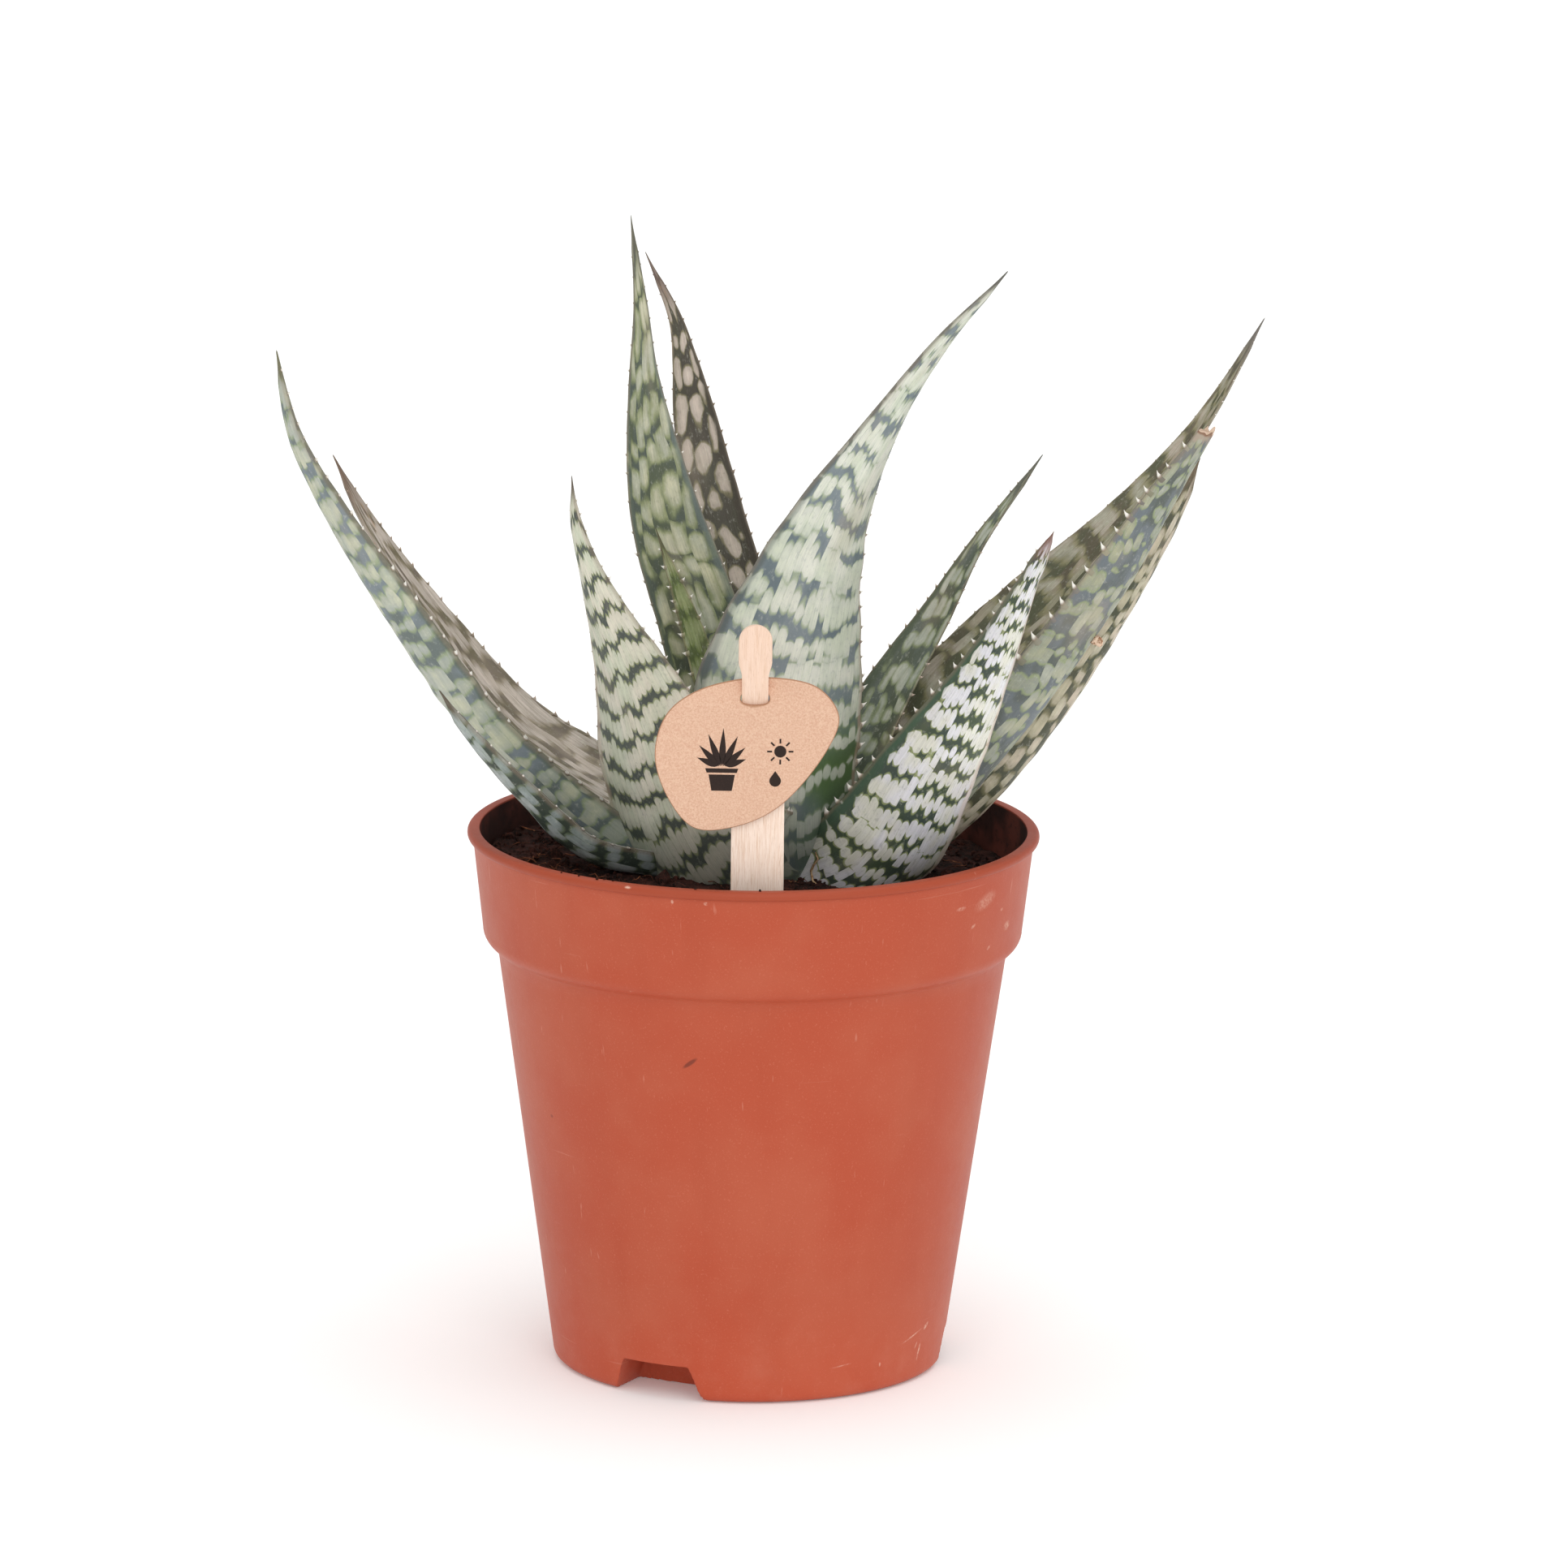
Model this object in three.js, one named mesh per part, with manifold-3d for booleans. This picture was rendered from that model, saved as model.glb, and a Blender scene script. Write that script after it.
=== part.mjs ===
// A potted bronze lizard aloe: a rosette of toothed, channelled leaves in a terracotta-coloured nursery pot,
// with a wooden label stick and a card tag. Millimetres, +Z up, origin at the centre of the pot's flat base.
import * as THREE from "three";
import { mergeVertices } from "three/addons/utils/BufferGeometryUtils.js";
import Module from "manifold-3d";

// Driving dimensions
const gap = 0.3; // clearance between pieces that touch
const sliver = 0.04; // finest detail that a cut surface keeps
const potHeight = 114;
const rimRadius = 60;
const rimInnerRadius = 57.4;
const rimThickness = 2;
const collarTopRadius = 58.8;
const collarFootRadius = 56.6;
const collarFootZ = 93;
const stepZ = 88.9;
const bodyTopRadius = 53.5;
const baseRadius = 41.2;
const baseRounding = 2;
const wall = 1.2;
const floorThickness = 1.4;
const potSegments = 52;

const notchCount = 3;
const notchAzimuth = -117.7; // degrees from +X to the middle of the notch seen at the front
const notchHeight = 7.5;
const notchFootWidth = 21;
const notchTopWidth = 15;
const notchReach = 12;
const drainHoleRadius = 3.2;
const drainHoleInset = 8; // from the base's edge

const soilTop = 105.5; // height of the soil at the pot's axis
const soilSlope = -0.035; // the soil is a little higher on the left
const soilGrain = 0.8; // how far a point of its top may lie above or below the plane
const soilSegments = 30;
const soilRings = 5;
const soilSeed = 77;

const crown = { x: 7, y: 2 }; // axis of the rosette
const crownSegments = 20;
const crownProfile = [[0, 84], [6, 85], [9.5, 93], [11, 103], [9.5, 109], [6, 113], [0, 114.5]];

const stick = { x: 1, y: -50.2, top: 168.3, foot: 80, point: 6, width: 10.9, thickness: 1.3 };
const stickHead = { width: 6.9, length: 19.5, shoulder: 3, straight: 4.2, offset: -0.8 };
const stickNeck = { width: 5.5, waist: 3.2 };
const tag = { x: -1.3, z: 141.2, thickness: 1.1, y: -51.6, slitZ: 153, slitHeight: 3.4, slitWidth: 7 };

const cardBend = { halfWidth: 9, halfHeight: 2.4, pushBack: 3.2, pullForward: 0.3 };
const cardSteps = 14;
const outlineSteps = 44;

const toothLength = 1.3;
const toothWidth = 1.6;
const toothSink = 0.9;
const toothFlatness = 0.55;
const toothLean = 0.45; // towards the tip, for each unit outwards
const toothTipSize = 0.55; // size of the last teeth beside the first
const toothSpacing = 11;

// A leaf's section has a channel above, a full keel below and thin margins
const marginThickness = 0.75;
const tipHalfWidth = 0.4;
const channelDepth = { base: 0.42, tip: 0.2 }; // beside half the width
const channelLevel = 0.35; // share of the channel's depth that lies below the spine
const tipThinning = 0.7; // share of the thickness that is gone at the tip
const fullestSection = 0.45; // greatest thickness beside the width
const stationsPerLeaf = 12;
const pointsAcross = 5;

const colours = {
  pot: "#c4614a",
  soil: "#2c1c16",
  stem: "#6f7a4c",
  stick: "#e6c9a4",
  tag: "#c9976f",
};

// Each leaf: its spine from the crown outwards as [x, y, z, width], then the direction that its channelled
// upper face looks in at the base and at the tip, the thickness at the base, and its colour.
// They stand in order from the heart of the rosette outwards.
const leaves = {
  leaf_heart: {
    spine: [[5, 1, 106, 11], [0, 2, 122, 10.5], [-8.5, 2, 141, 7.2], [-14, 3, 158, 4.6], [-21, 4, 177, 0.8]],
    faceBase: [0.5, -0.8, 0.4], faceTip: [0.3, -0.9, 0.2], thickness: 3, colour: "#8b9a5c",
  },
  leaf_tall_centre: {
    spine: [[6, 0, 104, 25], [5, -8, 118, 32], [5.8, -11, 145, 36], [13.7, -15, 178, 20.5],
      [25.4, -19, 203, 8.8], [38, -23, 223, 3.5], [51, -26, 238, 0.8]],
    faceBase: [-0.05, 1, 0.2], faceTip: [-0.5, 0.8, 0.3], thickness: 6, colour: "#b4c4b0",
  },
  leaf_tall_left: {
    spine: [[3, 3, 106, 17], [-3, 6, 121, 20], [-10.2, 9, 150, 19], [-19.8, 12, 180, 15],
      [-23.8, 16, 205, 7.2], [-24.8, 19, 222, 3], [-27, 22, 240, 0.8]],
    faceBase: [0.35, -0.9, 0.2], faceTip: [0.2, -1, 0.1], thickness: 5.5, colour: "#8f9c74",
  },
  leaf_tall_back: {
    spine: [[7, 6, 106, 16], [5, 10, 126, 16], [0, 15, 146, 14.6], [-6, 20, 167, 12.6],
      [-13.2, 29, 195, 9.6], [-15.4, 32, 207, 5.8], [-17.6, 35, 216, 3], [-24, 40, 229, 0.8]],
    faceBase: [0.1, -1, 0.2], faceTip: [0.3, -0.9, 0.3], thickness: 5, colour: "#9a9483",
  },
  leaf_right_small: {
    spine: [[9, 3, 106, 13], [19.5, 6, 125, 13.5], [28, 11, 141, 11.6], [38.3, 18, 157, 7.4],
      [46.4, 24, 170.4, 3.6], [60, 32, 188, 0.8]],
    faceBase: [-0.4, -0.8, 0.4], faceTip: [-0.5, -0.8, 0.3], thickness: 4, colour: "#72816a",
  },
  leaf_right_long: {
    spine: [[10, 4, 103, 20], [25, 8, 121, 24], [39, 14, 136, 25], [58, 24, 155, 20], [76.6, 33, 173.6, 10.6],
      [93, 43, 192.2, 4.6], [107, 52, 214, 0.8]],
    faceBase: [-0.55, -0.5, 0.65], faceTip: [-0.5, -0.7, 0.4], thickness: 5.5, colour: "#8e8672",
  },
  leaf_right_cut: {
    spine: [[12, 0, 103, 20], [32, -4, 116, 20], [44, -7, 130, 20.4], [60, -12, 151.2, 20],
      [75, -17, 174.2, 16], [84, -19, 190, 10.6], [93, -22, 205, 4.6]],
    faceBase: [-0.55, 0.35, 0.75], faceTip: [-0.7, 0.65, 0.35], thickness: 5.5, colour: "#a3b287",
  },
  leaf_front_left: {
    spine: [[3, -3, 104, 30], [-7.6, -12, 109.4, 39], [-17.8, -17, 128.3, 32.3], [-26.1, -23, 153, 16.8],
      [-33, -29, 172, 6.6], [-37, -33, 186, 2.6], [-38, -36, 196, 0.8]],
    faceBase: [0.3, 0.9, 0.3], faceTip: [0.3, 0.9, 0.3], thickness: 6, colour: "#b9bd9c",
  },
  leaf_front_right: {
    spine: [[14, -3, 104, 20], [25.5, -12, 111.3, 26.5], [37.4, -20, 132.6, 20.2], [47.8, -28, 154.3, 11],
      [55.8, -40, 175.1, 4.6], [58.2, -43.8, 181.2, 3.5], [61, -48, 188, 0.8]],
    faceBase: [0.05, 0.9, 0.45], faceTip: [0, 0.85, 0.45], thickness: 6, colour: "#c9cdbf",
  },
  leaf_left_back: {
    spine: [[4, 3, 103, 20], [-15, 9, 112.5, 23], [-33.5, 17, 121, 20.5], [-50.6, 26, 131.6, 15.2],
      [-66.6, 35, 149.4, 9.6], [-81.2, 43, 168.5, 4.4], [-90, 48, 183, 0.8]],
    faceBase: [0.5, -0.3, 0.8], faceTip: [0.6, -0.6, 0.5], thickness: 5.5, colour: "#a08d7c",
  },
  leaf_left_long: {
    spine: [[1, 1, 102, 18], [-19, -1, 107.6, 18.5], [-38, -5, 121.6, 16.5], [-55.2, -10, 137.6, 15.6],
      [-72.2, -15, 162, 13.9], [-87, -20, 186, 7.6], [-95.1, -24, 202.8, 3.4], [-99, -28, 220, 0.8]],
    faceBase: [0.55, 0.3, 0.8], faceTip: [0.75, 0.6, 0.3], thickness: 6, colour: "#95a396",
  },
  leaf_right_low: {
    spine: [[11, 3, 101, 18], [30, 4, 109, 19], [45.5, 4, 121, 17], [62, 3, 141, 15],
      [77, 1, 165, 11.3], [85.8, -1, 181.2, 7.6], [92, -4, 195, 0.8]],
    faceBase: [-0.6, 0.3, 0.75], faceTip: [-0.75, 0.5, 0.4], thickness: 5, colour: "#8a8b72",
  },
  leaf_back: {
    spine: [[8, 5, 102, 18], [8, 16, 110, 20], [9, 30, 122, 16], [10, 45, 139, 9.5], [11, 58, 158, 0.8]],
    faceBase: [0, -0.6, 0.8], faceTip: [0, -0.8, 0.6], thickness: 5, colour: "#7f8c70",
  },
  leaf_back_left: {
    spine: [[4, 5, 102, 17], [-2, 16, 109, 19], [-8, 28, 120, 15], [-13, 40, 135, 9], [-17, 50, 151, 0.8]],
    faceBase: [0.3, -0.55, 0.8], faceTip: [0.4, -0.7, 0.6], thickness: 5, colour: "#7f8c70",
  },
  leaf_back_right: {
    spine: [[11, 5, 102, 17], [17, 16, 108, 18], [24, 29, 118, 14], [30, 40, 130, 8], [34, 48, 143, 0.8]],
    faceBase: [-0.3, -0.55, 0.8], faceTip: [-0.4, -0.7, 0.6], thickness: 5, colour: "#7f8c70",
  },
  leaf_left_low: {
    spine: [[2, -1, 103, 13], [-16, -8, 109, 13], [-34, -16, 114.2, 11], [-47, -22, 126.8, 8.8],
      [-58, -26.5, 139.6, 4.8], [-65, -28, 148.8, 0.8]],
    faceBase: [0.5, 0.35, 0.8], faceTip: [0.6, 0.4, 0.6], thickness: 4.5, colour: "#5f6f5a",
  },
};

const wasm = await Module();
wasm.setup();

function solidFrom(geometry, tolerance = 1e-4) {
  const bare = geometry.clone();
  bare.deleteAttribute("normal");
  bare.deleteAttribute("uv");
  const merged = mergeVertices(bare, tolerance);
  return new wasm.Manifold(
    new wasm.Mesh({
      numProp: 3,
      vertProperties: merged.attributes.position.array,
      triVerts: new Uint32Array(merged.index.array),
    }),
  );
}

function geometryFrom(solid) {
  const mesh = solid.getMesh();
  const geometry = new THREE.BufferGeometry();
  geometry.setAttribute("position", new THREE.BufferAttribute(new Float32Array(mesh.vertProperties), 3));
  geometry.setIndex(new THREE.BufferAttribute(new Uint32Array(mesh.triVerts), 1));
  return geometry;
}

function meshFrom(solid, name, colour, roughness) {
  const geometry = geometryFrom(solid);
  geometry.computeVertexNormals();
  const material = new THREE.MeshStandardMaterial({ color: colour, roughness, metalness: 0 });
  const made = new THREE.Mesh(geometry, material);
  made.name = name;
  return made;
}

function largestBody(solid) {
  return solid.decompose().reduce((best, body) => (body.volume() > best.volume() ? body : best));
}

// The main body of a cut solid, without the slivers and scraps that a cut leaves
function mainBody(solid) {
  const body = largestBody(solid.simplify(sliver));
  return largestBody(solidFrom(geometryFrom(body), 2e-3));
}

function turned(profile, segments) {
  const points = profile.map(([radius, z]) => new THREE.Vector2(radius, z));
  return new THREE.LatheGeometry(points, segments).rotateX(Math.PI / 2);
}

// A prism of a closed outline in the XZ plane, centred on y = 0
function uprightPrism(outline, thickness) {
  const settings = { depth: thickness, bevelEnabled: false, curveSegments: 6 };
  const geometry = new THREE.ExtrudeGeometry(outline, settings);
  return geometry.translate(0, 0, -thickness / 2).rotateX(Math.PI / 2);
}

// A repeatable stream of draws between 0 and 1
function seededDraws(seed) {
  let state = seed;
  return () => {
    state = (state * 16807) % 2147483647;
    return state / 2147483647;
  };
}

// Pot

function quarterArc(centreRadius, centreZ, radius, startAngle, endAngle, steps) {
  return Array.from({ length: steps + 1 }, (_, i) => {
    const angle = THREE.MathUtils.degToRad(startAngle + ((endAngle - startAngle) * i) / steps);
    return [centreRadius + radius * Math.cos(angle), centreZ + radius * Math.sin(angle)];
  });
}

function potProfile() {
  const collarCorner = collarFootZ - stepZ;
  const lipRounding = rimThickness / 2;
  return [
    [0, 0],
    ...quarterArc(baseRadius - baseRounding, baseRounding, baseRounding, -90, -8, 2),
    [bodyTopRadius, stepZ],
    ...quarterArc(collarFootRadius - collarCorner + 0.4, collarFootZ, collarCorner - 0.4, -70, 0, 2),
    [collarTopRadius, potHeight - rimThickness],
    ...quarterArc(rimRadius - lipRounding, potHeight - lipRounding, lipRounding, -90, 90, 3),
    [rimInnerRadius, potHeight],
    [rimInnerRadius, potHeight - 1],
    [collarFootRadius - wall, collarFootZ],
    [bodyTopRadius - wall, stepZ - 1],
    [baseRadius - wall + 0.1, baseRounding + floorThickness],
    [baseRadius - wall - baseRounding, floorThickness],
    [0, floorThickness],
  ];
}

// A block under the pot's edge, wider at its foot, that lies across the wall
function notchBlock(footWidth, topWidth, height, innerRadius) {
  const outline = new THREE.Shape([
    new THREE.Vector2(-footWidth / 2, -1),
    new THREE.Vector2(footWidth / 2, -1),
    new THREE.Vector2(topWidth / 2, height),
    new THREE.Vector2(-topWidth / 2, height),
  ]);
  const reach = baseRadius + 5 - innerRadius;
  return solidFrom(uprightPrism(outline, reach).translate(0, innerRadius + reach / 2, 0));
}

function aroundBase(solid, index) {
  const azimuth = notchAzimuth + (360 / notchCount) * index;
  return solid.rotate([0, 0, azimuth - 90]);
}

function potSolids() {
  const profile = potProfile();
  const floorStart = profile.length - 2;
  const outside = [...profile.slice(0, floorStart - 4), [0, potHeight]];
  const whole = solidFrom(turned(profile, potSegments));
  const envelope = solidFrom(turned(outside, potSegments));
  const inner = baseRadius - notchReach;
  const pocket = notchBlock(notchFootWidth, notchTopWidth, notchHeight, inner);
  const cover = notchBlock(
    notchFootWidth + 2 * wall, notchTopWidth + 2 * wall, notchHeight + wall, inner - wall,
  );
  const hole = solidFrom(
    new THREE.CylinderGeometry(drainHoleRadius, drainHoleRadius, 10, 16)
      .rotateX(Math.PI / 2)
      .translate(0, baseRadius - drainHoleInset, notchHeight),
  );
  let pot = whole;
  const covers = [];
  for (let i = 0; i < notchCount; i++) {
    const shell = aroundBase(cover, i).intersect(envelope);
    covers.push(shell);
    pot = pot.add(shell);
  }
  for (let i = 0; i < notchCount; i++) {
    pot = pot.subtract(aroundBase(pocket, i)).subtract(aroundBase(hole, i));
  }
  return { pot: mainBody(pot), covers };
}

// Soil: a plug that fills the pot, with an uneven top that slopes down to the right

function soilHeight(x, y, draw) {
  return soilTop + soilSlope * x + soilGrain * (draw() - 0.5) * 2;
}

function soilSolid(covers, cutters) {
  const segments = soilSegments;
  const rings = soilRings;
  const draw = seededDraws(soilSeed);
  const topRadius = collarFootRadius - wall - gap + (collarTopRadius - collarFootRadius) * 0.4;
  const positions = [];
  const triangles = [];
  positions.push(0, 0, soilTop);
  const ringPoint = (radius, i, z) => {
    const angle = (i / segments) * 2 * Math.PI;
    const x = radius * Math.cos(angle);
    const y = radius * Math.sin(angle);
    positions.push(x, y, z === undefined ? soilHeight(x, y, draw) : z);
  };
  for (let ring = 1; ring <= rings; ring++) {
    for (let i = 0; i < segments; i++) ringPoint((topRadius * ring) / rings, i);
  }
  const levels = [
    [collarFootRadius - wall - gap, collarFootZ],
    [bodyTopRadius - wall - gap, stepZ - 1],
    [baseRadius - wall - gap, baseRounding + floorThickness + gap],
    [baseRadius - wall - baseRounding - gap, floorThickness + gap],
  ];
  for (const [radius, z] of levels) {
    for (let i = 0; i < segments; i++) ringPoint(radius, i, z);
  }
  const last = positions.length / 3;
  positions.push(0, 0, floorThickness + gap);
  const at = (ring, i) => 1 + ring * segments + (i % segments);
  const ringCount = rings + levels.length;
  for (let i = 0; i < segments; i++) {
    triangles.push(0, at(0, i), at(0, i + 1));
    for (let ring = 0; ring < ringCount - 1; ring++) {
      triangles.push(at(ring, i), at(ring + 1, i), at(ring + 1, i + 1));
      triangles.push(at(ring, i), at(ring + 1, i + 1), at(ring, i + 1));
    }
    triangles.push(at(ringCount - 1, i), last, at(ringCount - 1, i + 1));
  }
  let soil = solidOfTriangles(positions, triangles);
  for (const cover of covers) soil = soil.subtract(swollenCover(cover));
  for (const cutter of cutters) soil = soil.subtract(cutter);
  return mainBody(soil);
}

function solidOfTriangles(positions, triangles) {
  return new wasm.Manifold(
    new wasm.Mesh({
      numProp: 3,
      vertProperties: new Float32Array(positions),
      triVerts: new Uint32Array(triangles),
    }),
  );
}

// The notch cover grown a little, so that the soil clears it
function swollenCover(cover) {
  const box = cover.boundingBox();
  const centre = [0, 1, 2].map((k) => (box.min[k] + box.max[k]) / 2);
  const grow = [0, 1, 2].map((k) => 1 + (2.6 * gap) / (box.max[k] - box.min[k]));
  return cover
    .translate([-centre[0], -centre[1], -centre[2]])
    .scale(grow)
    .translate(centre);
}

// Crown: the short stem that every leaf grows from

function crownSolid(swell) {
  const profile = crownProfile.map(([radius, z], i) => {
    const lift = i === 0 ? -swell : i === crownProfile.length - 1 ? swell : 0;
    return [radius === 0 ? 0 : radius + swell, z + lift];
  });
  return solidFrom(turned(profile, crownSegments).translate(crown.x, crown.y, 0));
}

// Leaves

// Places and directions at one fraction of a leaf's length, 0 at its base and 1 at its tip
function leafFrame(leaf, fraction) {
  const curve = leaf.curve;
  const centre = curve.getPoint(fraction);
  const along = curve.getTangent(fraction).normalize();
  const face = leaf.faces[0].clone().lerp(leaf.faces[1], fraction);
  face.addScaledVector(along, -face.dot(along)).normalize();
  const across = new THREE.Vector3().crossVectors(along, face);
  const width = leaf.widths.getPoint(fraction).x;
  return { centre, along, face, across, width };
}

function preparedLeaf(leaf) {
  const points = leaf.spine.map(([x, y, z]) => new THREE.Vector3(x, y, z));
  const widths = leaf.spine.map(([, , , width], i) => new THREE.Vector2(width, i));
  return {
    ...leaf,
    curve: new THREE.CatmullRomCurve3(points, false, "centripetal"),
    widths: new THREE.SplineCurve(widths),
    faces: [new THREE.Vector3(...leaf.faceBase), new THREE.Vector3(...leaf.faceTip)],
  };
}

// One place on a section: side runs from -1 to 1 across it, height from the lower face (0) to the upper (1)
function sectionPoint(frame, leaf, fraction, side, upper, swell) {
  const half = Math.max(frame.width / 2, tipHalfWidth) + swell;
  const channel = half * THREE.MathUtils.lerp(channelDepth.base, channelDepth.tip, fraction);
  const thickness = leaf.thickness * (1 - tipThinning * fraction);
  const fullness = Math.min(thickness, frame.width * fullestSection + marginThickness);
  const middle = 1 - side * side;
  const depth = marginThickness + Math.max(fullness - marginThickness, 0) * middle;
  const rise = channel * (side * side - channelLevel) + (upper ? swell : -depth - swell);
  return frame.centre
    .clone()
    .addScaledVector(frame.across, side * half)
    .addScaledVector(frame.face, rise);
}

function bladeSolid(leaf, swell) {
  const positions = [];
  const triangles = [];
  const ringSize = 2 * pointsAcross;
  for (let station = 0; station < stationsPerLeaf; station++) {
    const fraction = station / (stationsPerLeaf - 1);
    const frame = leafFrame(leaf, fraction);
    for (let k = 0; k < ringSize; k++) {
      const upper = k < pointsAcross;
      const step = upper ? k : ringSize - 1 - k;
      const side = (2 * step) / (pointsAcross - 1) - 1;
      positions.push(...sectionPoint(frame, leaf, fraction, side, upper, swell).toArray());
    }
  }
  for (let station = 0; station < stationsPerLeaf - 1; station++) {
    for (let k = 0; k < ringSize; k++) {
      const a = station * ringSize + k;
      const b = station * ringSize + ((k + 1) % ringSize);
      triangles.push(a, b, b + ringSize, a, b + ringSize, a + ringSize);
    }
  }
  const lastRing = (stationsPerLeaf - 1) * ringSize;
  for (let k = 0; k < pointsAcross - 1; k++) {
    const low = ringSize - 1 - k;
    triangles.push(k, low, k + 1, k + 1, low, low - 1);
    triangles.push(lastRing + k, lastRing + k + 1, lastRing + low);
    triangles.push(lastRing + k + 1, lastRing + low - 1, lastRing + low);
  }
  return solidOfTriangles(positions, triangles);
}

// A margin tooth: a flat three-sided cone sunk into the margin and leaning towards the tip
function toothSolid(leaf, fraction, side, swell) {
  const frame = leafFrame(leaf, fraction);
  const root = sectionPoint(frame, leaf, fraction, side, true, 0);
  const outward = frame.across.clone().multiplyScalar(side).addScaledVector(frame.along, toothLean);
  outward.normalize();
  const flat = frame.face.clone();
  const wide = new THREE.Vector3().crossVectors(outward, flat);
  const size = THREE.MathUtils.lerp(1, toothTipSize, fraction);
  const height = toothLength * size + toothSink + swell * 2;
  const cone = new THREE.ConeGeometry(toothWidth * size * 0.5 + swell, height, 3, 1);
  cone.translate(0, height / 2, 0);
  const place = new THREE.Matrix4().makeBasis(wide, outward, flat);
  const start = root.addScaledVector(outward, -toothSink - swell * 0.5);
  start.addScaledVector(frame.face, -marginThickness / 2);
  place.setPosition(start);
  cone.applyMatrix4(new THREE.Matrix4().makeScale(1, 1, toothFlatness));
  cone.applyMatrix4(place);
  return solidFrom(cone);
}

function leafSolid(leaf, swell = 0) {
  const length = leaf.curve.getLength();
  const count = Math.floor(length / toothSpacing);
  const teeth = [];
  for (let i = 2; i < count - 1; i++) {
    const fraction = i / count;
    teeth.push(toothSolid(leaf, fraction, -1, swell));
    teeth.push(toothSolid(leaf, (i + 0.5) / count, 1, swell));
  }
  return wasm.Manifold.union([bladeSolid(leaf, swell), ...teeth]);
}

// Label: a flat wooden stick with a round head, and a card tag that the head passes through

function stickOutline() {
  const { width, foot, point, top } = stick;
  const { offset } = stickHead;
  const headRadius = stickHead.width / 2;
  const neckHalf = stickNeck.width / 2;
  const headFoot = top - headRadius - stickHead.straight;
  const neckTop = headFoot - stickNeck.waist;
  const shoulderTop = top - stickHead.length;
  const shape = new THREE.Shape();
  shape.moveTo(-width / 2, foot + point);
  shape.lineTo(0, foot);
  shape.lineTo(width / 2, foot + point);
  shape.lineTo(width / 2, shoulderTop - stickHead.shoulder);
  shape.lineTo(offset + neckHalf, shoulderTop);
  shape.lineTo(offset + neckHalf, neckTop);
  shape.lineTo(offset + headRadius, headFoot);
  shape.absarc(offset, top - headRadius, headRadius, 0, Math.PI, false);
  shape.lineTo(offset - headRadius, headFoot);
  shape.lineTo(offset - neckHalf, neckTop);
  shape.lineTo(offset - neckHalf, shoulderTop);
  shape.lineTo(-width / 2, shoulderTop - stickHead.shoulder);
  shape.closePath();
  return shape;
}

function stickSolid(swell) {
  const flat = solidFrom(uprightPrism(stickOutline(), stick.thickness + 2 * swell));
  const grow = 1 + (2 * swell) / stickNeck.width;
  return flat.scale([grow, 1, 1]).translate([stick.x, stick.y, 0]);
}

// The tag's outline: a rounded pebble, wider at the top right and lower at the left
const tagCorners = [
  [-19, 0.5], [-16.4, 8.8], [-9.6, 13.7], [4.7, 15.8], [14.5, 14.2], [18.8, 8.4], [16.3, 1], [6.4, -10.9],
  [-3.4, -15.3], [-11, -15.3], [-16.8, -8.1],
];

// How far the card is pushed back above its slit, and forward below it
function cardOffset(x, z) {
  const reach = Math.exp(-(((x - stick.x) / cardBend.halfWidth) ** 2));
  const { halfHeight } = cardBend;
  const above = THREE.MathUtils.smoothstep(z, tag.slitZ - halfHeight, tag.slitZ + halfHeight);
  return reach * (above * cardBend.pushBack - cardBend.pullForward);
}

function tagSolid() {
  const corners = tagCorners.map(([x, z]) => new THREE.Vector3(x, 0, z));
  const loop = new THREE.CatmullRomCurve3(corners, true).getPoints(outlineSteps).slice(0, -1);
  const outline = new THREE.Shape(loop.map((p) => new THREE.Vector2(p.x + tag.x, p.z + tag.z)));
  const prism = solidFrom(uprightPrism(outline, 20)).translate([0, tag.y, 0]);
  const sheet = new THREE.BoxGeometry(46, tag.thickness, 38, cardSteps, 1, cardSteps);
  sheet.translate(tag.x, tag.y, tag.z);
  const position = sheet.attributes.position;
  for (let i = 0; i < position.count; i++) {
    position.setY(i, position.getY(i) + cardOffset(position.getX(i), position.getZ(i)));
  }
  const slit = solidFrom(
    new THREE.BoxGeometry(tag.slitWidth, 12, tag.slitHeight)
      .translate(stick.x + stickHead.offset, tag.y, tag.slitZ),
  );
  const card = solidFrom(sheet).intersect(prism).subtract(slit).subtract(stickSolid(gap));
  return mainBody(card);
}

// Assembly

const object = new THREE.Group();
const { pot, covers } = potSolids();
const soil = soilSolid(covers, [crownSolid(gap), stickSolid(gap)]);
object.add(meshFrom(pot, "pot", colours.pot, 0.5));
object.add(meshFrom(soil, "soil", colours.soil, 1));
object.add(meshFrom(crownSolid(0), "stem", colours.stem, 0.6));

const placed = [crownSolid(gap), soil.add(soil.translate([0, 0, gap]))];
for (const [name, values] of Object.entries(leaves)) {
  const leaf = preparedLeaf(values);
  let solid = leafSolid(leaf);
  for (const neighbour of placed) solid = solid.subtract(neighbour);
  object.add(meshFrom(mainBody(solid), name, leaf.colour, 0.45));
  placed.push(leafSolid(leaf, gap));
}

object.add(meshFrom(stickSolid(0), "label_stick", colours.stick, 0.8));
object.add(meshFrom(tagSolid(), "label_tag", colours.tag, 0.9));

export default object;
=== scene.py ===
import math
import random
import bpy
import numpy as np
from mathutils import Matrix, Vector, noise


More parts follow.
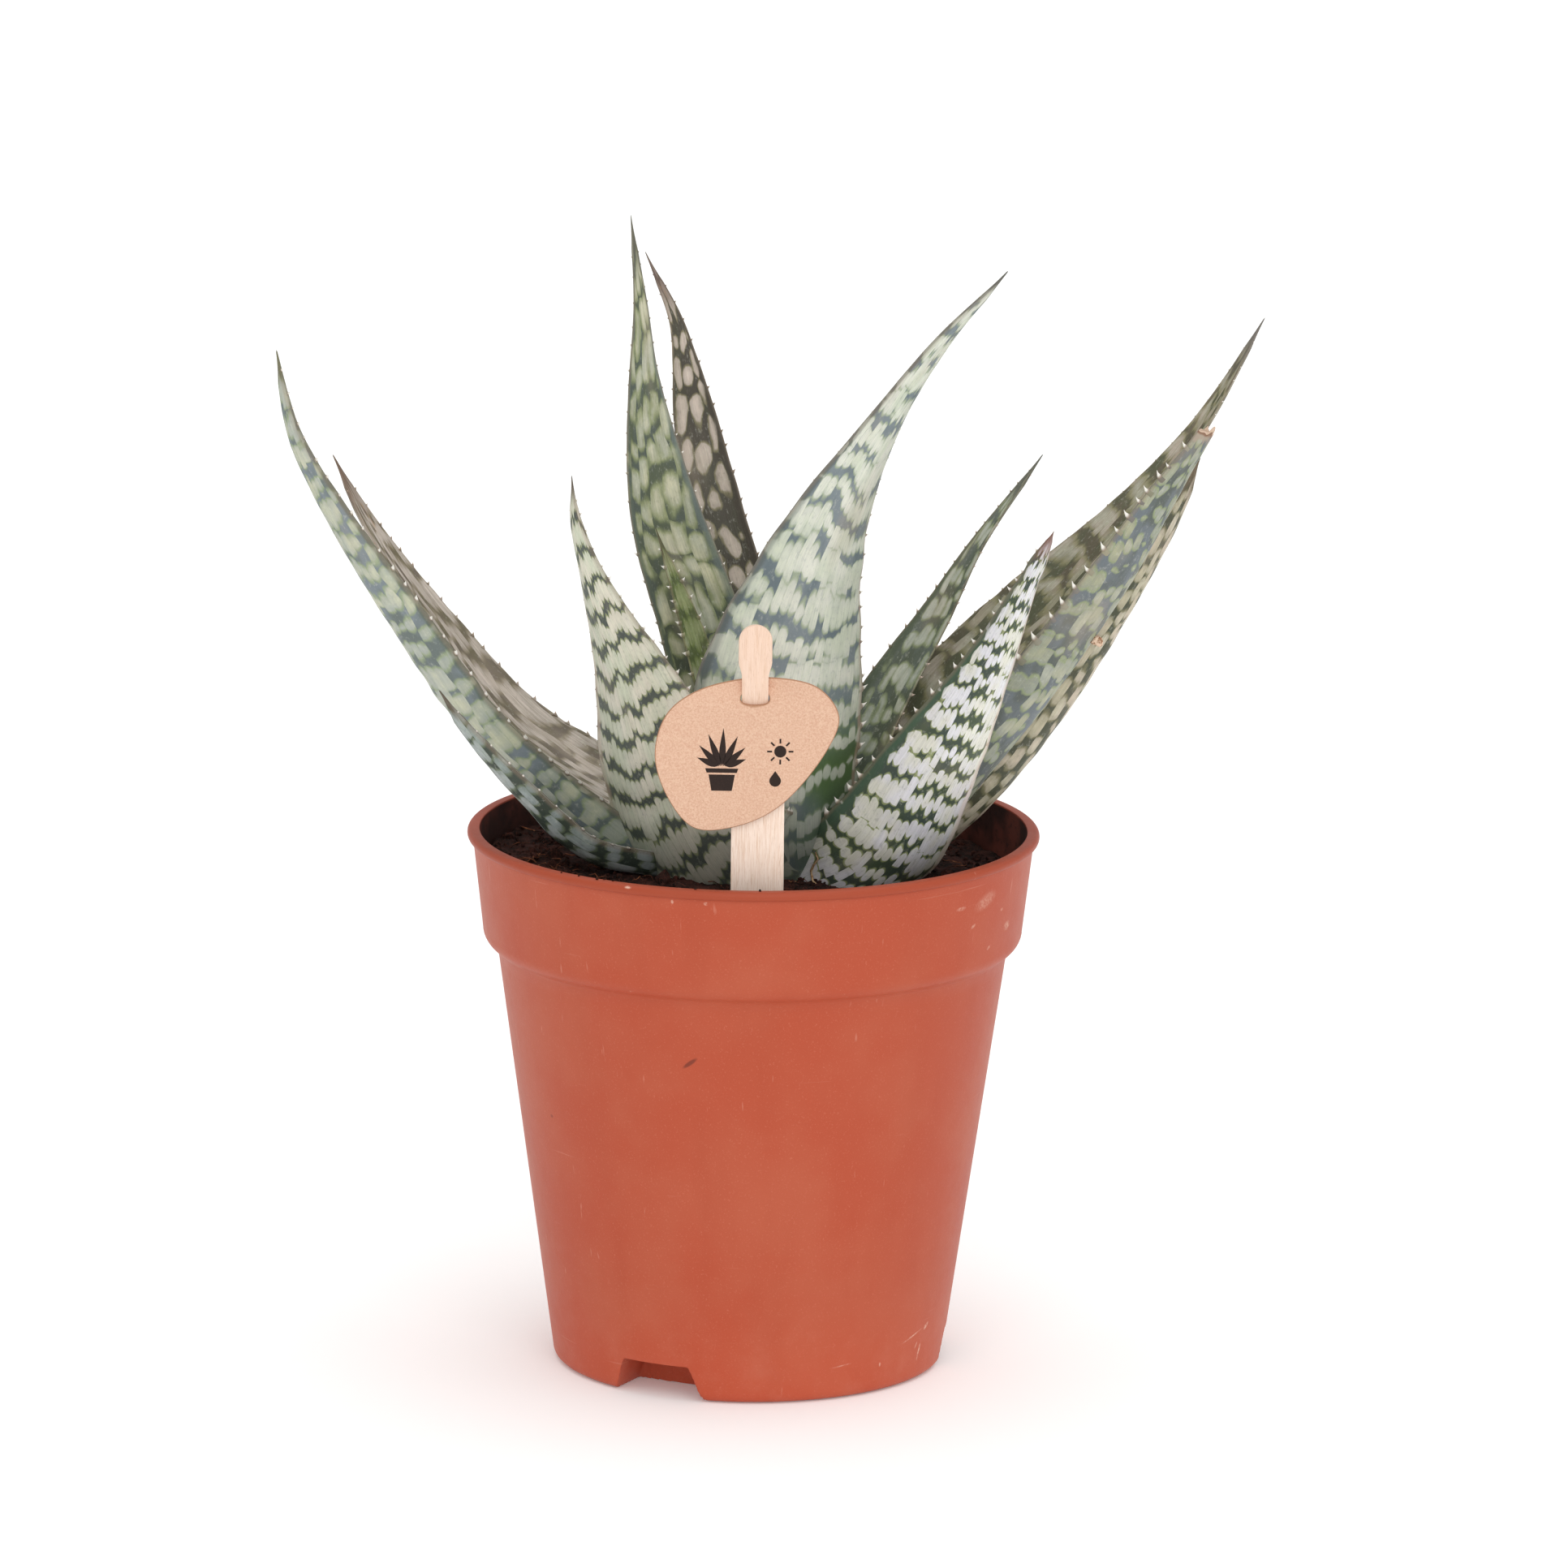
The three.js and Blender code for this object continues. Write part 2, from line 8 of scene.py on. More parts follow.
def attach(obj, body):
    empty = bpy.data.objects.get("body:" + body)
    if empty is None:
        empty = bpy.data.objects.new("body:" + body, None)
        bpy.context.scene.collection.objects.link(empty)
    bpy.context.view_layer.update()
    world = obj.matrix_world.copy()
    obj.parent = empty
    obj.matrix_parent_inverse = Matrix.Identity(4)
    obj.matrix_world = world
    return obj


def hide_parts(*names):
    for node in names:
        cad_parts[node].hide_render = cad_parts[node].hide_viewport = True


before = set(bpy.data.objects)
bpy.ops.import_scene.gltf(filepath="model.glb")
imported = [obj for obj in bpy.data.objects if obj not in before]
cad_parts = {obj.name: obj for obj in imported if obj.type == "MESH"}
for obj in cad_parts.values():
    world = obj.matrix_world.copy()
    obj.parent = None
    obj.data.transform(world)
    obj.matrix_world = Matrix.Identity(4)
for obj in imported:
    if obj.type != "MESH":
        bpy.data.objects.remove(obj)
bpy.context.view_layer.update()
mm = 0.001
fullTurn = 2 * math.pi

bpy.context.scene.view_settings.view_transform = "Standard"


# Small helpers: shapes are worked out in millimetres and turned into metres here

def pieceFrom(name, points, faces, material, replaced=(), fields=None, sharpAbove=60):
    mesh = bpy.data.meshes.new(name)
    mesh.from_pydata((np.asarray(points, dtype=float) * mm).tolist(), [], faces)
    mesh.validate()
    mesh.shade_smooth()
    mesh.set_sharp_from_angle(angle=math.radians(sharpAbove))
    for fieldName, values in (fields or {}).items():
        values = np.asarray(values, dtype=np.float32)
        kind = "FLOAT_VECTOR" if values.ndim == 2 else "FLOAT"
        attribute = mesh.attributes.new(fieldName, kind, "POINT")
        attribute.data.foreach_set("vector" if values.ndim == 2 else "value", values.ravel())
    mesh.materials.append(material)
    piece = bpy.data.objects.new(name, mesh)
    bpy.context.collection.objects.link(piece)
    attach(piece, "root")
    if replaced:
        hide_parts(*replaced)


def smoothStep(value, low, high):
    share = np.clip((np.asarray(value, dtype=float) - low) / (high - low), 0, 1)
    return share * share * (3 - 2 * share)


def gridFaces(rows, columns, start=0):
    # rings of points joined one to the next
    faces = []
    for row in range(rows - 1):
        for column in range(columns):
            a = start + row * columns + column
            b = start + row * columns + (column + 1) % columns
            faces.append((a, b, b + columns, a + columns))
    return faces


def closeEnds(faces, first, last, count, low, high):
    # fans of triangles from two end points to the first and to the last ring
    for i in range(count):
        j = (i + 1) % count
        faces.append((low, first + j, first + i))
        faces.append((high, last + i, last + j))


def turnedOver(faces):
    return [tuple(reversed(face)) for face in faces]


def straightPoints(start, end, steps):
    # steps points from start towards end, the end left out
    return [tuple(s + (e - s) * i / steps for s, e in zip(start, end)) for i in range(steps)]


def curveStep(a, b, c, d, share):
    # the centripetal curve through four knots, between the two in the middle
    gaps = [max(np.sum((q - p) ** 2) ** 0.25, 1e-6) for p, q in ((a, b), (b, c), (c, d))]
    slopeB = ((b - a) / gaps[0] - (c - a) / (gaps[0] + gaps[1]) + (c - b) / gaps[1]) * gaps[1]
    slopeC = ((c - b) / gaps[1] - (d - b) / (gaps[1] + gaps[2]) + (d - c) / gaps[2]) * gaps[1]
    square = -3 * b + 3 * c - 2 * slopeB - slopeC
    cube = 2 * b - 2 * c + slopeB + slopeC
    return b + slopeB * share + square * share ** 2 + cube * share ** 3


def paint(code):
    # a colour written as on screen, turned into the linear values that a material takes
    parts = [int(code[i:i + 2], 16) / 255 for i in (1, 3, 5)]
    linear = [p / 12.92 if p <= 0.04045 else ((p + 0.055) / 1.055) ** 2.4 for p in parts]
    return (*linear, 1.0)


class Finish:
    # one material, with short ways to add nodes to it
    def __init__(self, name, roughness=0.5, specular=0.5):
        self.material = bpy.data.materials.new(name)
        self.material.use_nodes = True
        self.tree = self.material.node_tree
        self.tree.nodes.clear()
        self.shader = self.tree.nodes.new("ShaderNodeBsdfPrincipled")
        self.shader.inputs["Roughness"].default_value = roughness
        self.shader.inputs["Specular IOR Level"].default_value = specular
        output = self.tree.nodes.new("ShaderNodeOutputMaterial")
        self.tree.links.new(self.shader.outputs[0], output.inputs[0])

    def feed(self, socket, value):
        if isinstance(value, bpy.types.NodeSocket):
            self.tree.links.new(value, socket)
        elif isinstance(value, str):
            socket.default_value = paint(value)
        else:
            socket.default_value = value

    def node(self, kind, *values, **inlets):
        made = self.tree.nodes.new(kind)
        for socket, value in zip(made.inputs, values):
            self.feed(socket, value)
        for name, value in inlets.items():
            self.feed(made.inputs[name], value)
        return made

    def calc(self, operation, *values):
        made = self.node("ShaderNodeMath", *values)
        made.operation = operation
        return made.outputs[0]

    def chain(self, operation, values):
        total = values[0]
        for value in values[1:]:
            total = self.calc(operation, total, value)
        return total

    def add(self, *values):
        return self.chain("ADD", values)

    def times(self, *values):
        return self.chain("MULTIPLY", values)

    def less(self, first, second):
        return self.calc("SUBTRACT", first, second)

    def place(self, x, y=0.0, z=0.0):
        return self.node("ShaderNodeCombineXYZ", x, y, z).outputs[0]

    def parts(self, vector):
        return tuple(self.node("ShaderNodeSeparateXYZ", vector).outputs)

    def steps(self, value, low, high):
        # from 0 to 1 between two values
        made = self.node("ShaderNodeMapRange", value, low, high)
        made.interpolation_type = "SMOOTHSTEP"
        return made.outputs[0]

    def fall(self, value, low, high):
        # from 1 to 0 between two values
        return self.less(1.0, self.steps(value, low, high))

    def mix(self, share, first, second):
        made = self.tree.nodes.new("ShaderNodeMix")
        made.data_type = "RGBA"
        self.feed(made.inputs[0], share)
        self.feed(made.inputs[6], first)
        self.feed(made.inputs[7], second)
        return made.outputs[2]

    def over(self, colour, added, *shares):
        # another colour laid over the first, by the product of the shares
        return self.mix(self.times(*shares), colour, added)

    def grain(self, vector, scale=1.0, detail=2.0, roughness=0.5):
        made = self.node("ShaderNodeTexNoise", Vector=vector, Scale=scale, Detail=detail, Roughness=roughness)
        return made.outputs[0]

    def streaks(self, vector, scales, detail=3.0, roughness=0.6):
        # noise drawn out by a scale of its own for each axis
        made = self.node("ShaderNodeVectorMath", vector, scales)
        made.operation = "MULTIPLY"
        return self.grain(made.outputs[0], 1.0, detail, roughness)

    def swing(self, vector, scale=1.0, detail=2.0, gain=3.0):
        # noise spread to about -1..1
        return self.times(self.less(self.grain(vector, scale, detail), 0.5), gain)

    def draw(self, value):
        made = self.tree.nodes.new("ShaderNodeTexWhiteNoise")
        made.noise_dimensions = "1D"
        self.feed(made.inputs["W"], value)
        return made.outputs["Value"]

    def field(self, name, single=False):
        made = self.tree.nodes.new("ShaderNodeAttribute")
        made.attribute_name = name
        return made.outputs["Fac" if single else "Vector"]

    def spot(self):
        # the piece's own coordinates, in millimetres
        made = self.node("ShaderNodeVectorMath", self.tree.nodes.new("ShaderNodeTexCoord").outputs["Object"])
        made.operation = "SCALE"
        made.inputs["Scale"].default_value = 1 / mm
        return made.outputs[0]

    def patch(self, across, along, centre, size, tilt=0.0, soft=0.35):
        # 1 inside a soft-edged ellipse on a surface with those two coordinates
        turn = math.radians(tilt)
        da = self.less(across, centre[0])
        db = self.less(along, centre[1])
        u = self.add(self.times(da, math.cos(turn) / size[0]), self.times(db, math.sin(turn) / size[0]))
        v = self.less(self.times(db, math.cos(turn) / size[1]), self.times(da, math.sin(turn) / size[1]))
        distance = self.calc("SQRT", self.add(self.times(u, u), self.times(v, v)))
        return self.fall(distance, 1 - soft, 1 + soft)

    def set(self, colour, roughness=None, bump=None, depth=0.1, strength=1.0):
        self.feed(self.shader.inputs["Base Color"], colour)
        if roughness is not None:
            self.feed(self.shader.inputs["Roughness"], roughness)
        if bump is not None:
            made = self.node("ShaderNodeBump", Strength=strength, Distance=depth * mm, Height=bump)
            self.tree.links.new(made.outputs[0], self.shader.inputs["Normal"])
        return self.material


# Pot: a thin moulding with a lip, a collar, a step and three notches under its edge

pot = {
    "height": 114, "rimRadius": 60, "rimInnerRadius": 57.4, "rimThickness": 2, "wall": 1.2, "floor": 1.4,
    "collarTopRadius": 58.8, "collarFootRadius": 56.6, "collarFootZ": 93, "stepZ": 88.9,
    "bodyTopRadius": 53.5, "baseRadius": 41.2, "baseRounding": 2, "segments": 500,
    "notches": 3, "notchAzimuth": -117.7, "notchHeight": 7.5, "notchFootWidth": 21, "notchTopWidth": 15,
    "notchReach": 12, "notchBlend": 0.45, "notchZoneZ": 9.6, "drainHoleRadius": 3.2, "drainHoleInset": 8,
    "terracotta": "#b24f35", "pale": "#b5583e", "deep": "#a8492f", "speckle": "#dd8e74", "lip": "#9f452c",
    # foot is painted light: a paler colour for the foot, against the shade near the floor
    "dust": "#d9a58f", "foot": "#dc6040", "scratch": "#dda08a", "scuff": "#e6c0ab", "fleck": "#7f3a2a",
    "inside": "#3a1e18", "insideWarm": "#753c30", "splash": "#120c0a",
    "markRadius": 50,  # where the marks' widths are measured
    "scuffs": [  # azimuth in degrees, height, half sizes, tilt, strength: pale marks of handling
        (-33.3, 106.3, 2.6, 1.3, 20, 0.35), (-22.1, 98.7, 1.1, 0.8, 0, 0.6),
        (-41.6, 106.1, 1.0, 0.35, 0, 0.5), (-106.2, 111.2, 0.22, 0.34, 0, 1.0),
        (-99.3, 111.2, 0.3, 0.3, 0, 1.0), (-115.3, 113.6, 0.5, 0.22, 0, 0.9),
        (-37.0, 101.5, 0.6, 0.3, 30, 0.5), (-30.0, 95.5, 0.5, 0.3, 30, 0.6),
        (-26.0, 103.0, 0.45, 0.3, 0, 0.5), (-35.5, 10.6, 3.2, 0.16, 14, 0.8),
        (-31.0, 6.6, 0.3, 1.7, -12, 0.9), (-28.6, 11.8, 0.9, 0.4, 35, 0.9),
        (-48.5, 6.2, 0.25, 0.45, 0, 0.6), (-62.0, 7.4, 2.2, 0.13, 6, 0.45),
        (-33.0, 8.2, 0.7, 0.2, 60, 0.8),
    ],
    "flecks": [(-104, 75.4, 1.7, 0.42, 38, 0.95), (-147.3, 57.9, 0.5, 0.35, 0, 0.6)],
}


def arcPoints(centreRadius, centreZ, radius, startAngle, endAngle, steps):
    turns = [math.radians(startAngle + (endAngle - startAngle) * i / steps) for i in range(steps + 1)]
    return [(centreRadius + radius * math.cos(a), centreZ + radius * math.sin(a)) for a in turns]


def potProfile():
    # radius and height: the outer side from the middle of the base up to the rim, then the inner side down
    p = pot
    corner = p["collarFootZ"] - p["stepZ"]
    lipRounding = p["rimThickness"] / 2
    lipFoot = p["height"] - p["rimThickness"]
    pocketInner = p["baseRadius"] - p["notchReach"]
    flatEdge = p["baseRadius"] - p["baseRounding"]
    radii = [6, 14, 22, 26] + list(np.arange(pocketInner - 1.6, flatEdge, 0.45))
    outer = [(r, 0.0) for r in radii]
    outer += arcPoints(flatEdge, p["baseRounding"], p["baseRounding"], -90, -8, 7)
    foot = outer[-1]
    slope = (p["bodyTopRadius"] - foot[0]) / (p["stepZ"] - foot[1])
    notchEnd = (foot[0] + slope * (p["notchZoneZ"] - foot[1]), p["notchZoneZ"])
    outer += straightPoints(foot, notchEnd, 26)[1:]
    outer += straightPoints(notchEnd, (p["bodyTopRadius"], p["stepZ"]), 26)
    outer += [(p["bodyTopRadius"], p["stepZ"] - 0.25), (p["bodyTopRadius"] + 0.25, p["stepZ"])]
    outer += arcPoints(p["collarFootRadius"] - corner + 0.4, p["collarFootZ"], corner - 0.4, -70, 0, 9)
    outer += straightPoints((p["collarFootRadius"], p["collarFootZ"]), (p["collarTopRadius"], lipFoot), 9)[1:]
    outer += [(p["collarTopRadius"], lipFoot - 0.2), (p["collarTopRadius"] + 0.08, lipFoot)]
    outer += arcPoints(p["rimRadius"] - lipRounding, p["height"] - lipRounding, lipRounding, -90, 90, 12)
    for inwards, down in ((0.8, 0), (0.25, 0), (0.06, 0.07), (0, 0.25)):
        outer.append((p["rimInnerRadius"] + inwards, p["height"] - down))
    top = (p["rimInnerRadius"], p["height"] - 0.5)
    step = (p["collarFootRadius"] - p["wall"], p["collarFootZ"])
    shoulder = (p["bodyTopRadius"] - p["wall"], p["stepZ"] - 1)
    low = (p["baseRadius"] - p["wall"] + 1.0, 12.0)
    base = (p["baseRadius"] - p["wall"] + 0.1, p["baseRounding"] + p["floor"])
    inner = straightPoints(top, step, 8) + straightPoints(step, shoulder, 3)
    inner += straightPoints(shoulder, low, 10) + straightPoints(low, base, 16)
    inner += [(base[0] - 0.8, base[1] - 1.2)]
    floorRadii = list(np.arange(pocketInner - 3.6, base[0] - 1.8, 0.6))
    inner += [(r, p["floor"]) for r in floorRadii[::-1] + [22, 14, 6]]
    return outer, inner


def notchLift(points, isInner):
    # how high the moulding is pushed up over the three drainage pockets
    p = pot
    radius = np.hypot(points[:, 0], points[:, 1])
    azimuth = np.arctan2(points[:, 1], points[:, 0])
    lift = np.zeros(len(points))
    extra = p["wall"] if isInner else 0.0
    start = p["baseRadius"] - p["notchReach"] - extra
    halfTop = p["notchTopWidth"] / 2 + extra
    halfFoot = p["notchFootWidth"] / 2 + extra
    for i in range(p["notches"]):
        turn = azimuth - math.radians(p["notchAzimuth"] + 360 / p["notches"] * i)
        sideways = np.abs(radius * np.sin(turn))
        outwards = radius * np.cos(turn)
        reach = smoothStep(outwards, start - p["notchBlend"], start + p["notchBlend"])
        width = 1 - np.clip((sideways - halfTop) / (halfFoot - halfTop), 0, 1)
        width = 0.5 * width + 0.5 * width * width * (3 - 2 * width)
        pocket = (p["notchHeight"] + extra) * reach * width
        if not isInner:
            fromHole = np.hypot(sideways, outwards - p["baseRadius"] + p["drainHoleInset"])
            pocket += 1 - smoothStep(fromHole, p["drainHoleRadius"] - 0.3, p["drainHoleRadius"])
        lift = np.maximum(lift, pocket)
    return lift


def makePot():
    segments = pot["segments"]
    angles = np.arange(segments) / segments * fullTurn
    points = []
    inside = []
    profiles = potProfile()
    for side, profile in zip((0.0, 1.0), profiles):
        radius, height = (np.repeat(values, segments) for values in np.array(profile).T)
        turn = np.tile(angles, len(profile))
        # a thin moulding is never quite round
        swell = 0.12 * np.sin(2 * turn + 0.6) + 0.06 * np.sin(3 * turn + 2.1)
        radius = radius + swell * smoothStep(height, 10, 110)
        ring = np.stack([radius * np.cos(turn), radius * np.sin(turn), height], -1)
        low = height < 12
        ring[low, 2] = np.maximum(ring[low, 2], notchLift(ring[low], side > 0))
        points.append(ring)
        inside.append(np.full(len(ring), side))
    rows = sum(len(profile) for profile in profiles)
    faces = gridFaces(rows, segments)
    bottom = rows * segments
    closeEnds(faces, 0, bottom - segments, segments, bottom, bottom + 1)
    points = np.concatenate(points + [[[0, 0, 0], [0, 0, pot["floor"]]]])
    inside = np.concatenate(inside + [[0.0, 1.0]])
    pieceFrom("potShell", points, faces, satinTerracotta(), ["pot"],
              {"insideWall": inside}, 50)


def potMarks(f, around, z, marks, soft):
    strongest = 0.0
    for azimuth, height, wide, tall, tilt, strength in marks:
        centre = (math.radians(azimuth) * pot["markRadius"], height)
        mark = f.times(f.patch(around, z, centre, (wide, tall), tilt, soft), strength)
        strongest = f.calc("MAXIMUM", strongest, mark)
    return strongest


def satinTerracotta():
    f = Finish("satinTerracotta", specular=0.2)
    spot = f.spot()
    x, y, z = f.parts(spot)
    inside = f.steps(f.field("insideWall", True), 0.2, 0.8)
    around = f.times(f.calc("ARCTAN2", y, x), pot["markRadius"])
    colour = f.mix(f.steps(f.grain(spot, 0.035, 3, 0.55), 0.36, 0.66), pot["terracotta"], pot["pale"])
    colour = f.over(colour, pot["deep"], f.steps(f.streaks(spot, (0.09, 0.09, 0.012)), 0.45, 0.75), 0.25)
    colour = f.over(colour, pot["speckle"], f.steps(f.grain(spot, 2.6, 2, 0.6), 0.56, 0.8), 0.22)
    # the lip is a little richer, the foot a little dusty, and painted light makes the foot paler against the
    # shade near the floor
    colour = f.over(colour, pot["lip"], f.steps(z, pot["height"] - 2.3, pot["height"] - 1.7), 0.8)
    dust = f.times(f.fall(z, 2, 26), f.steps(f.grain(spot, 0.11, 4, 0.6), 0.42, 0.7))
    colour = f.over(colour, pot["dust"], dust, 0.08)
    # painted light: the foot is painted paler and warmer towards the floor
    colour = f.over(colour, pot["foot"], f.fall(z, 0, 26), 0.15)
    # fine scratches down and around the wall, pale scuffs and two dark flecks
    down = f.times(f.steps(f.streaks(spot, (0.9, 0.9, 0.05), 2, 0.5), 0.72, 0.78), 0.25)
    level = f.times(f.steps(f.streaks(spot, (0.04, 0.04, 1.6), 2, 0.5), 0.73, 0.79), 0.2)
    scratches = f.calc("MAXIMUM", down, level)
    colour = f.over(colour, pot["scratch"], scratches)
    worn = f.steps(f.grain(spot, 1.6, 3, 0.7), 0.3, 0.62)
    scuffs = f.times(potMarks(f, around, z, pot["scuffs"], 0.6), worn)
    colour = f.over(colour, pot["scuff"], scuffs, 0.85)
    colour = f.over(colour, pot["fleck"], potMarks(f, around, z, pot["flecks"], 0.35))
    # the darker inner side
    dark = f.mix(f.steps(f.grain(spot, 0.06, 3, 0.6), 0.4, 0.65), pot["inside"], pot["insideWarm"])
    dark = f.over(dark, pot["splash"], f.steps(f.grain(spot, 0.5, 4, 0.7), 0.52, 0.66), 0.5)
    colour = f.mix(inside, colour, dark)
    rough = f.add(0.4, f.times(f.grain(spot, 0.4, 3, 0.6), 0.12), f.times(scuffs, 0.2),
                  f.times(inside, 0.12))
    skin = f.add(f.times(f.grain(spot, 1.4, 3, 0.6), 0.5), f.times(f.grain(spot, 6.0, 2, 0.6), 0.25))
    return f.set(colour, rough, f.less(skin, f.times(scratches, 0.8)), 0.06, 0.7)


makePot()
print("stage: pot")


# Soil: peat that fills the pot, with crumbs and reddish fibres on it

soil = {
    "top": 105.5, "slope": -0.035, "radius": 56.2, "rings": 118, "segments": 300, "lumps": 1.6, "seed": 77,
    "plug": [(56.0, 101), (55.0, 93), (51.9, 87.8), (41.4, 12), (40.4, 10)],  # its side, as radius and height
    "crumbs": 1500, "bigCrumbs": 150, "fibres": 330, "fibreSteps": 7, "reach": 55,
    # at the left the peat stands higher and looser, and a few crumbs are spilt on the lip, at these azimuths
    "heap": {"x": -47, "y": -17, "fibreX": -46, "crumbs": 150, "reach": 53.5},
    "lipRadius": 58.2, "lipCrumbs": (-128, -124, -121.5, -119, -133, -101, -88, 40, 95),
    "dark": "#251713", "brown": "#543129", "warm": "#7d4636",
    "fibreDark": "#3a2218", "fibreRed": "#7d4a30", "fibrePale": "#a06a48",
}
dryStrand = {  # it leans against the front right leaf
    "path": [(13.3, -13.4, 105.2), (12.6, -12.2, 105.5), (12.4, -11.3, 106.4), (12.2, -11.0, 107.4),
             (12.7, -11.4, 108.8), (13.6, -12.4, 110.3), (13.1, -11.7, 111.6)],
    "radius": 0.28, "pale": "#b99c78", "dark": "#8a6a4a",
}


def soilHeight(x, y):
    place = Vector((x * 0.11, y * 0.11, 3.7))
    broad = noise.noise(place * 0.7) * 0.8
    fine = noise.fractal(place * 2.4, 0.9, 2.0, 4) * 0.65
    grit = noise.noise(place * 17) * 0.25
    return soil["top"] + soil["slope"] * x + soil["lumps"] * (broad + fine + grit) * 0.6


def makeSoil():
    segments = soil["segments"]
    rings = soil["rings"]
    points = []
    for ring in range(1, rings + 1):
        radius = soil["radius"] * ring / rings
        for i in range(segments):
            turn = i / segments * fullTurn + 0.3 * ring / segments
            x = radius * math.cos(turn)
            y = radius * math.sin(turn)
            points.append((x, y, soilHeight(x, y)))
    for radius, z in soil["plug"]:
        for i in range(segments):
            turn = i / segments * fullTurn
            points.append((radius * math.cos(turn), radius * math.sin(turn), z))
    faces = gridFaces(rings + len(soil["plug"]), segments)
    top = len(points)
    closeEnds(faces, 0, top - segments, segments, top, top + 1)
    points += [(0, 0, soilHeight(0, 0)), (0, 0, soil["plug"][-1][1])]
    pieceFrom("soilBed", points, turnedOver(faces), peatFinish("peat"), ["soil"],
              sharpAbove=180)


def peatFinish(name, lift=0.0):
    f = Finish(name, roughness=0.95, specular=0.2)
    spot = f.spot()
    fine = f.grain(spot, 1.9, 4, 0.7)
    colour = f.mix(f.steps(f.grain(spot, 0.22, 5, 0.65), 0.4, 0.66), soil["dark"], soil["brown"])
    colour = f.over(colour, soil["warm"], f.steps(fine, 0.52 - lift, 0.72 - lift), 0.55)
    bump = f.add(f.times(fine, 0.8), f.grain(spot, 5.5, 3, 0.7))
    return f.set(colour, None, bump, 0.5, 1.0)


def ballShape():
    # a ball of 20 triangles, and the same split once
    golden = (1 + math.sqrt(5)) / 2
    corners = [Vector(c).normalized() for c in (
        (-1, golden, 0), (1, golden, 0), (-1, -golden, 0), (1, -golden, 0),
        (0, -1, golden), (0, 1, golden), (0, -1, -golden), (0, 1, -golden),
        (golden, 0, -1), (golden, 0, 1), (-golden, 0, -1), (-golden, 0, 1))]
    sides = [(0, 11, 5), (0, 5, 1), (0, 1, 7), (0, 7, 10), (0, 10, 11), (1, 5, 9), (5, 11, 4),
             (11, 10, 2), (10, 7, 6), (7, 1, 8), (3, 9, 4), (3, 4, 2), (3, 2, 6), (3, 6, 8),
             (3, 8, 9), (4, 9, 5), (2, 4, 11), (6, 2, 10), (8, 6, 7), (9, 8, 1)]
    middles = {}
    split = []

    def middle(a, b):
        key = (min(a, b), max(a, b))
        if key not in middles:
            middles[key] = len(corners)
            corners.append(((corners[a] + corners[b]) / 2).normalized())
        return middles[key]

    for a, b, c in sides:
        ab = middle(a, b)
        bc = middle(b, c)
        ca = middle(c, a)
        split += [(a, ab, ca), (b, bc, ab), (c, ca, bc), (ab, bc, ca)]
    return np.array([list(c) for c in corners]), sides, split


def addCrumb(points, faces, centre, size, draw, fine=True):
    corners, sides, split = ballParts
    shape = corners if fine else corners[:12]
    stretch = np.array([draw.uniform(0.7, 1.25), draw.uniform(0.7, 1.25), draw.uniform(0.5, 0.95)])
    shift = draw.uniform(0, 50)
    bumps = np.array([1 + 0.55 * noise.noise(Vector(c * 1.7) + Vector((shift, 0, 0))) for c in shape])
    turn = Matrix.Rotation(draw.uniform(0, 6.28), 3, Vector((draw.random(), draw.random(), 1)).normalized())
    placed = (shape * bumps[:, None] * stretch * size) @ np.array(turn) + np.array(centre)
    start = len(points)
    points.extend(placed.tolist())
    for face in (split if fine else sides):
        faces.append(tuple(start + corner for corner in face))


def addFibre(points, faces, path, radius, sides=4):
    # a thin tapering tube through a short path
    start = len(points)
    count = len(path)
    for i, centre in enumerate(path):
        ahead = path[min(i + 1, count - 1)] - path[max(i - 1, 0)]
        ahead.normalize()
        beside = ahead.cross(Vector((0.3, 0.2, 1))).normalized()
        above = beside.cross(ahead)
        thin = radius * (0.35 + 0.65 * math.sin(math.pi * (i + 0.6) / (count + 0.2)))
        for k in range(sides):
            turn = k / sides * fullTurn
            points.append(tuple(centre + (beside * math.cos(turn) + above * math.sin(turn)) * thin))
    faces.extend(gridFaces(count, sides, start))
    faces.append(tuple(start + k for k in reversed(range(sides))))
    faces.append(tuple(start + (count - 1) * sides + k for k in range(sides)))


def soilSpot(draw, inner, outer):
    radius = math.sqrt(draw.uniform(inner ** 2, outer ** 2))
    turn = draw.uniform(0, fullTurn)
    return radius * math.cos(turn), radius * math.sin(turn)


def makeCrumbs():
    draw = random.Random(soil["seed"])
    points = []
    faces = []

    def drop(x, y, smallest, largest, sunk, fine=True):
        size = draw.uniform(smallest, largest)
        addCrumb(points, faces, (x, y, soilHeight(x, y) + size * sunk), size, draw, fine)

    for i in range(soil["crumbs"]):
        drop(*soilSpot(draw, 12, soil["reach"]), 0.22, 0.75, 0.3, False)
    for i in range(soil["bigCrumbs"]):
        drop(*soilSpot(draw, 12, soil["reach"]), 0.8, 1.7, 0.15)
    heap = soil["heap"]
    for i in range(heap["crumbs"]):
        x = heap["x"] + draw.gauss(0, 4.5)
        y = heap["y"] + draw.gauss(0, 5)
        if math.hypot(x, y) <= heap["reach"]:
            drop(x, y, 0.4, 1.2, 0.4)
    for azimuth in soil["lipCrumbs"]:
        radius = soil["lipRadius"] + draw.uniform(-0.5, 0.6)
        size = draw.uniform(0.2, 0.42)
        angle = math.radians(azimuth + draw.uniform(-1, 1))
        centre = (radius * math.cos(angle), radius * math.sin(angle), pot["height"] + size * 0.4)
        addCrumb(points, faces, centre, size, draw)
    pieceFrom("soilCrumbs", points, faces, peatFinish("peatCrumbs", 0.05), sharpAbove=40)


